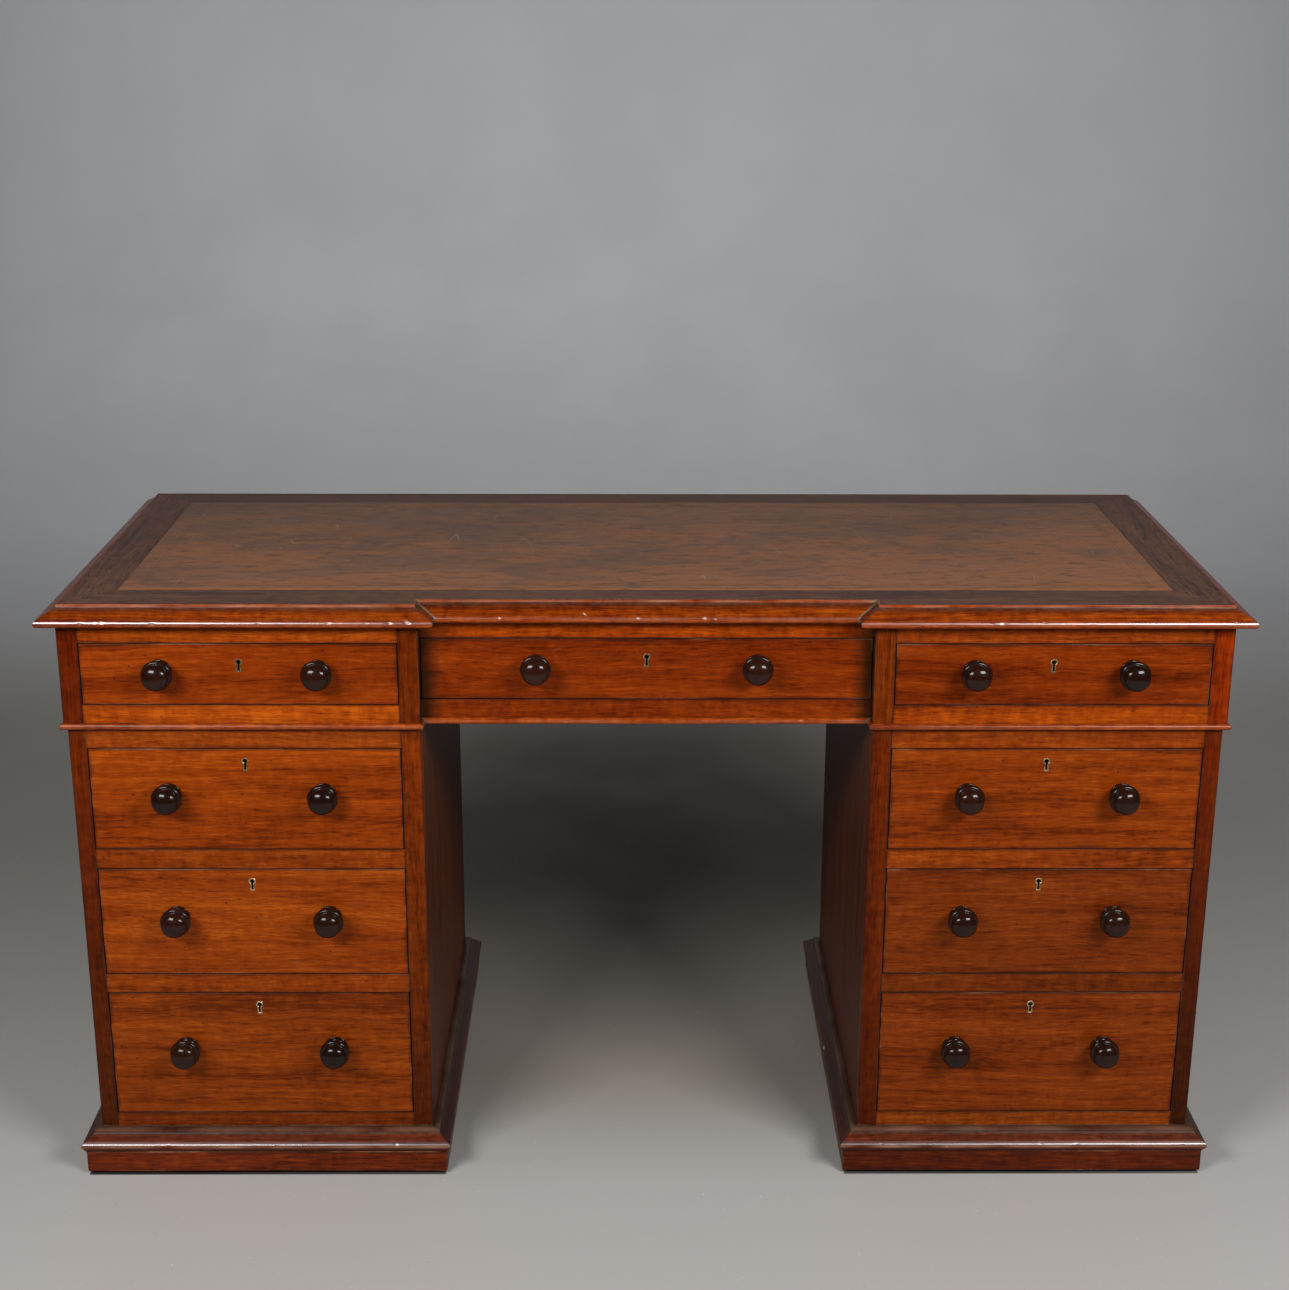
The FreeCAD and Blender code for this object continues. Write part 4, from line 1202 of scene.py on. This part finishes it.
# The knob's section as radius and distance from the drawer: collar, neck, ring, crease and dome
def knobSection():
    shape = knobShape
    base, neck, neckPlace = shape["base"], shape["neck"], shape["neckPlace"]
    crease, creasePlace, domePlace = shape["crease"], shape["creasePlace"], shape["domePlace"]
    points = [(0.0, 0.0), (base - 0.0006, 0.0)]
    points += quarter((base - 0.0008, 0.0014), (0.0008, 0.0014), -60, 80, 6)
    points += [(base - 0.0012, shape["baseDepth"])]
    hollow = base - 0.0016
    points += quarter((hollow, neckPlace), (hollow - neck, neckPlace - shape["baseDepth"]), 265, 180, 8)
    flare = shape["ringPlace"] - shape["ringHalf"] - neckPlace
    rise = shape["ring"] - 0.0022 - neck
    points += quarter((neck + rise, neckPlace + 0.0002), (rise, flare), 180, 92, 8)
    edge = shape["ringEdge"]
    points += quarter((shape["ring"] - edge, shape["ringPlace"]), (edge, shape["ringHalf"]), -70, 82, 14)
    points += [(crease + 0.0002, creasePlace - 0.0003), (crease - 0.0003, creasePlace)]
    edge, reach = shape["domeEdge"], (domePlace - creasePlace) * 1.15
    points += quarter((shape["dome"] - edge, domePlace), (edge, reach), -58, 0, 6)
    points += quarter((0.0, domePlace), (shape["dome"], shape["projection"] - domePlace), 6, 84, 16)
    return points + [(0.0, shape["projection"])]


# How dark a point of a knob is painted near its crease, its neck and its base: painted shade where its
# parts meet and where it meets the drawer
def knobShade(distance):
    return max(nearTo(distance, knobShape["creasePlace"], 0.0018), 0.8 * smoothFall(distance, 0.0012),
               0.7 * nearTo(distance, knobShape["neckPlace"], 0.006))


# Adds a grown mesh to a pile, with its tint and the values worked out at each point
def addGrown(pile, mesh, valuesAt):
    work = bmesh.new()
    work.from_mesh(mesh)
    bmesh.ops.remove_doubles(work, verts=work.verts, dist=2e-6)
    work.verts.index_update()
    layer = work.verts.layers.float.get("knobTint")
    points = [vertex.co.copy() for vertex in work.verts]
    loops = [[vertex.index for vertex in face.verts] for face in work.faces]
    values = [valuesAt(spot) for spot in points]
    attributes = {name: [value[name] for value in values] for name in values[0]}
    attributes["knobTint"] = [vertex[layer] for vertex in work.verts]
    work.free()
    addToPile(pile, points, loops, True, attributes)


knobTints = {"left_frieze": (0.2, 0.6), "centre_frieze": (0.0, 1.0), "right_frieze": (0.2, 0.8),
             "left_top": (0.1, 0.4), "left_middle": (0.3, 0.8), "left_bottom": (0.1, 0.9),
             "right_top": (0.2, 0.9), "right_middle": (0.2, 0.7), "right_bottom": (0.3, 0.7)}


def makeKnobs(name, seed):
    node = name + "_drawer_knobs"
    low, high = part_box(node)
    radius = (high.z - low.z) / 2
    first = Vector((low.x + knobShape["ring"], high.y, low.z + radius))
    step = Vector((high.x - low.x - 2 * knobShape["ring"], 0, 0))
    mesh = grow(turnedPieces, turnedSockets, sectionLine(knobSection()), {
        "Segments": knobShape["segments"], "First": first, "Step": step, "Count": 2,
        "Turn": (math.radians(90), 0.0, 0.0), "Seed": seed, "Least": knobTints[name][0],
        "Most": knobTints[name][1], "Material": materials["knobRosewood"]})

    def valuesAt(spot):
        place = Vector((spot.y + seed, spot.x + seed * 3, spot.z))
        return {"grainPlace": place, "crease": knobShade(first.y - spot.y)}

    pile = newPile()
    addGrown(pile, mesh, valuesAt)
    standFor(pieceFromPile(pieceName(node), pile, materials["knobRosewood"], True), node)


for index, name in enumerate(drawerNames):
    makeKnobs(name, 3 + index)


glideShape = {"segments": 40, "round": 0.0015, "topEdge": 0.0004}


def makeGlides():
    pile = newPile()
    for index, (points, faces) in enumerate(solidsOf("floor_glides")):
        low, high = boxOf(points)
        centre = (low + high) / 2
        radius, height, soft = (high.y - low.y) / 2, high.z - low.z, glideShape["round"]
        section = [(0.0, 0.0), (radius - soft, 0.0)]
        section += quarter((radius - soft, soft), (soft, soft), -70, 0, 4)
        edge = glideShape["topEdge"]
        section += [(radius, height - edge), (radius - edge, height), (0.0, height)]
        mesh = grow(turnedPieces, turnedSockets, sectionLine(section), {
            "Segments": glideShape["segments"], "First": (centre.x, centre.y, low.z),
            "Step": (0.0, 0.0, 0.0), "Count": 1, "Turn": (0.0, 0.0, 0.0), "Seed": index,
            "Least": 0.1, "Most": 0.3, "Material": materials["knobRosewood"]})
        addGrown(pile, mesh, lambda spot: {"grainPlace": spot, "crease": 0.3})
    standFor(pieceFromPile("floorGlides", pile, materials["knobRosewood"], True), "floor_glides")


makeGlides()
print("knobs and glides turned")


# Locks: a softened case, a fine keyhole liner and screws, and a bolt that slides in it

keyhole = {"eye": 0.0028, "neck": 0.0024, "foot": 0.0028, "drop": 0.0113, "margin": 0.0018,
           "neckShare": 0.6, "steps": 28, "chamfer": 0.0003}


def keyholeOutline(margin, inset, middle, height):
    radius = keyhole["eye"] + margin - inset
    neck = keyhole["neck"] / 2 + margin * keyhole["neckShare"] - inset
    foot = keyhole["foot"] / 2 + margin - inset
    opening = math.asin(neck / radius)
    outline = []
    for step in range(keyhole["steps"] + 1):
        turn = opening + (2 * math.pi - 2 * opening) * step / keyhole["steps"]
        outline.append((middle - radius * math.sin(turn), height - radius * math.cos(turn)))
    low = height - keyhole["drop"] - margin + inset
    return outline + [(middle + foot, low), (middle - foot, low)]


def linerRings(low, high):
    middle = (low.x + high.x) / 2
    height = high.z - keyhole["eye"] - keyhole["margin"]
    chamfer, margin = keyhole["chamfer"], keyhole["margin"]
    inner = [(0.0, 0.0, high.y), (0.0, 0.0, low.y + chamfer), (0.0, -chamfer, low.y)]
    outer = [(margin, chamfer, low.y), (margin, 0.0, low.y + chamfer), (margin, 0.0, high.y)]
    return [[(x, y, z) for x, z in keyholeOutline(out, inset, middle, height)]
            for out, inset, y in inner + outer]


def addLiner(pile, low, high):
    rings = linerRings(low, high)
    points = [spot for ring in rings for spot in ring]
    addToPile(pile, points, ringFaces(len(rings), len(rings[0]), True), False, {})


screwShape = {"radius": 0.0023, "proud": 0.0001, "depth": 0.0006, "taper": 0.8, "slotHalf": 0.00035,
              "slotDepth": 0.0004, "rim": 20}


# A tapered foot under a rim, and a head of two flats with a sunk slot between them
def makeScrew():
    radius, proud, rim = screwShape["radius"], screwShape["proud"], screwShape["rim"]
    taper, slot = screwShape["taper"], screwShape["slotHalf"]
    circle = [(radius * math.cos(math.tau * index / rim), radius * math.sin(math.tau * index / rim))
              for index in range(rim)]
    points = [(x * taper, y * taper, -screwShape["depth"]) for x, y in circle]
    points += [(x, y, proud) for x, y in circle]
    reach = math.sqrt(radius ** 2 - slot ** 2)
    for height in (proud - screwShape["slotDepth"], proud):
        points += [(sign * reach, side * slot, height) for side in (-1, 1) for sign in (-1, 1)]
    top, half = list(range(rim, 2 * rim)), rim // 2
    sunk, edges = [list(range(2 * rim + skip, 2 * rim + skip + 4)) for skip in (0, 4)]
    faces = ringFaces(2, rim) + [list(range(rim))[::-1]]
    faces += [[edges[3], *top[1:half], edges[2]], [edges[0], *top[half + 1:], edges[1]],
              [sunk[0], sunk[1], sunk[3], sunk[2]], [edges[0], edges[1], sunk[1], sunk[0]],
              [edges[3], edges[2], sunk[2], sunk[3]], [edges[1], top[0], edges[3], sunk[3], sunk[1]],
              [edges[2], top[half], edges[0], sunk[0], sunk[2]]]
    pile = newPile()
    addToPile(pile, points, faces, False, {})
    return pieceFromPile("screw", pile, materials["agedBrass"], True)


def pointMesh(points, facing):
    mesh = bpy.data.meshes.new("screwPoints")
    mesh.from_pydata(points, [], [])
    layer = mesh.attributes.new("facing", "FLOAT_VECTOR", "POINT")
    layer.data.foreach_set("vector", [part for value in facing for part in value])
    return mesh


screwPlaces = {"plateReach": 0.0245, "caseReach": 0.0205, "caseInset": 0.0045, "plate": 0.0018}


def makeLock(name, screw, seed):
    node = name + "_drawer_lock"
    case, liner = solidsOf(node)
    pile = newPile()
    addToPile(pile, *softenSolid(*case, boardLooks["aged_brass"]["softEdge"]), {})
    addLiner(pile, *boxOf(liner[0]))

    low, high = boxOf(case[0])
    middle, back = (low.x + high.x) / 2, high.y
    points = [(middle + side * screwPlaces["plateReach"], (low.y + back) / 2, high.z) for side in (-1, 1)]
    facing = [(0, 0, 1)] * 2
    inset = screwPlaces["caseInset"]
    for side in (-1, 1):
        for height in (low.z + inset, high.z - screwPlaces["plate"] - inset):
            points.append((middle + side * screwPlaces["caseReach"], back, height))
            facing.append((0, 1, 0))
    mesh = grow(screwSetter, screwSockets, pointMesh(points, facing),
                {"Screw": screw, "Seed": seed, "Material": materials["agedBrass"]})
    addToPile(pile, [vertex.co.copy() for vertex in mesh.vertices],
              [list(face.vertices) for face in mesh.polygons], False, {})
    standFor(pieceFromPile(pieceName(node), pile, materials["agedBrass"], True), node)
    workBoards(name + "_lock_bolt", seed)


screw = makeScrew()
for index, name in enumerate(drawerNames):
    makeLock(name, screw, 60 + index)
bpy.data.objects.remove(screw)
print("locks fitted")


# Stage: a floor that sweeps up into a backdrop, two soft boxes and a dim room

stageLook = {
    "floor": rgb(0.415, 0.40, 0.385), "back": rgb(0.36, 0.345, 0.31), "wall": rgb(0.445, 0.45, 0.465),
    # under, between and far paint shadow on the floor, back paints shade towards the back, and right
    # paints light
    "under": rgb(0.02, 0.018, 0.016), "between": rgb(0.26, 0.235, 0.20), "right": rgb(0.46, 0.44, 0.425),
    "far": rgb(0.20, 0.165, 0.125), "grit": rgb(0.10, 0.09, 0.08), "chalk": rgb(0.75, 0.74, 0.72),
    "cloud": rgb(0.30, 0.29, 0.28), "halfWidth": 8.0, "front": -7.0, "bend": 2.4, "radius": 1.6,
    "height": 6.0, "world": rgb(0.5, 0.5, 0.52), "worldStrength": 0.01,
    "plinth": {"middle": 0.4985, "side": (0.2365, 0.234), "front": (-0.2965, -0.2945),
               "back": (0.296, 0.294)},
    "inside": (0.6, 0.25), "knees": ((-0.35, 0.0), (1.7, 1.1)), "behind": ((0.25, 0.7), (1.8, 1.2)),
    "lamps": {
        "leftSoftBox": dict(place=(-1.35, -1.85, 1.8), aim=(-0.25, 0.0, 0.4), size=(1.1, 0.6),
                            power=50, spread=180),
        "rightSoftBox": dict(place=(1.45, -1.85, 1.8), aim=(0.25, 0.0, 0.4), size=(1.1, 0.6),
                             power=56, spread=180),
        "wallLamp": dict(place=(0.0, 3.0, 3.2), aim=(0.0, 4.0, 1.0), size=(5.0, 0.4),
                         power=29, spread=120),
    },
}


# Painted shadow on the floor: darkest right under the plinths, and dim between them and behind the
# kneehole; painted shade darkens it towards the back and painted light lightens it to the right
def makeStageGrey():
    material, tree, surface = newMaterial("studioGrey")
    place = objectPlace(tree)
    across, depth, height = partsOf(tree, place)
    aside = maths(tree, "ABSOLUTE", across)
    plinth = stageLook["plinth"]
    fromMiddle = maths(tree, "ABSOLUTE", maths(tree, "SUBTRACT", aside, plinth["middle"]))
    under = product(tree, smooth(tree, fromMiddle, *plinth["side"]),
                    smooth(tree, depth, *plinth["front"]), smooth(tree, depth, *plinth["back"]))
    inside = smooth(tree, aside, *stageLook["inside"])
    knees, far = (product(tree, inside, *(smooth(tree, depth, *fade) for fade in stageLook[label]))
                  for label in ("knees", "behind"))
    rise = maths(tree, "MAXIMUM", smooth(tree, height, 0.02, 0.5), smooth(tree, depth, 1.3, 2.4))
    low = smooth(tree, height, 0.01, 0.0)
    cloud = noiseAt(tree, place, (2.0, 2.0, 2.0), 4.0, 0.6)
    fine = noiseAt(tree, place, (150.0, 150.0, 150.0), 2.0, 0.7)
    # Painted shade and shadow on the floor in the back, under, between and far layers, and painted light
    # in the right layer
    layers = [
        (smooth(tree, depth, -0.3, 0.7), "back"), (under, "under"), (knees, "between"), (far, "far"),
        (smooth(tree, across, 0.5, 1.3, 0.0, 0.8), "right"), (rise, "wall"),
        (smooth(tree, cloud, 0.3, 0.7, 0.0, 0.12), "cloud"),
        (product(tree, smooth(tree, fine, 0.70, 0.76), low, 0.35), "grit"),
        (product(tree, smooth(tree, fine, 0.29, 0.24), low, 0.6), "chalk")]
    colour = layered(tree, stageLook["floor"], *((share, stageLook[label]) for share, label in layers))
    plug(tree, colour, surface["Base Color"])
    plug(tree, smooth(tree, cloud, 0.3, 0.7, 0.55, 0.75), surface["Roughness"])
    return material


def makeStage():
    bend, radius, half = stageLook["bend"], stageLook["radius"], stageLook["halfWidth"]
    outline = [(stageLook["front"], 0.0), (bend, 0.0)]
    outline += quarter((bend, radius), (radius, radius), -85, 0, 17)
    outline.append((bend + radius, stageLook["height"]))
    points = [(side * half, y, z) for side in (-1, 1) for y, z in outline]
    count = len(outline)
    faces = [[index, index + count, index + count + 1, index + 1] for index in range(count - 1)]
    pile = newPile()
    addToPile(pile, points, faces, True, {})
    sweep = pieceFromPile("studioSweep", pile, makeStageGrey())


def makeLamps():
    for name, look in stageLook["lamps"].items():
        lamp = bpy.data.lights.new(name, "AREA")
        lamp.shape = "RECTANGLE"
        lamp.size, lamp.size_y = look["size"]
        lamp.energy = look["power"]
        lamp.spread = math.radians(look["spread"])
        direction = Vector(look["aim"]) - Vector(look["place"])
        turn = direction.to_track_quat("-Z", "Y").to_matrix().to_4x4()
        linkObject(name, lamp).matrix_world = Matrix.Translation(look["place"]) @ turn
    world = bpy.data.worlds.new("dimRoom")
    world.use_nodes = True
    background = world.node_tree.nodes["Background"].inputs
    background["Color"].default_value = stageLook["world"]
    background["Strength"].default_value = stageLook["worldStrength"]
    bpy.context.scene.world = world


cameraPlace = {"place": (-0.0225, -2.6693, 1.4977), "turn": 0.469, "tilt": 17.805, "roll": 0.182,
               "lens": 57.32, "sensor": 36.0}


def makeCamera():
    data = bpy.data.cameras.new("frontCamera")
    data.lens = cameraPlace["lens"]
    data.sensor_width = cameraPlace["sensor"]
    camera = linkObject("frontCamera", data)
    facing = (Matrix.Rotation(-math.radians(cameraPlace["turn"]), 4, "Z")
              @ Matrix.Rotation(math.radians(90 - cameraPlace["tilt"]), 4, "X")
              @ Matrix.Rotation(math.radians(cameraPlace["roll"]), 4, "Z"))
    camera.matrix_world = Matrix.Translation(cameraPlace["place"]) @ facing
    bpy.context.scene.camera = camera


makeStage()
makeLamps()
makeCamera()
bpy.context.scene.view_settings.view_transform = "Standard"
print("stage set")
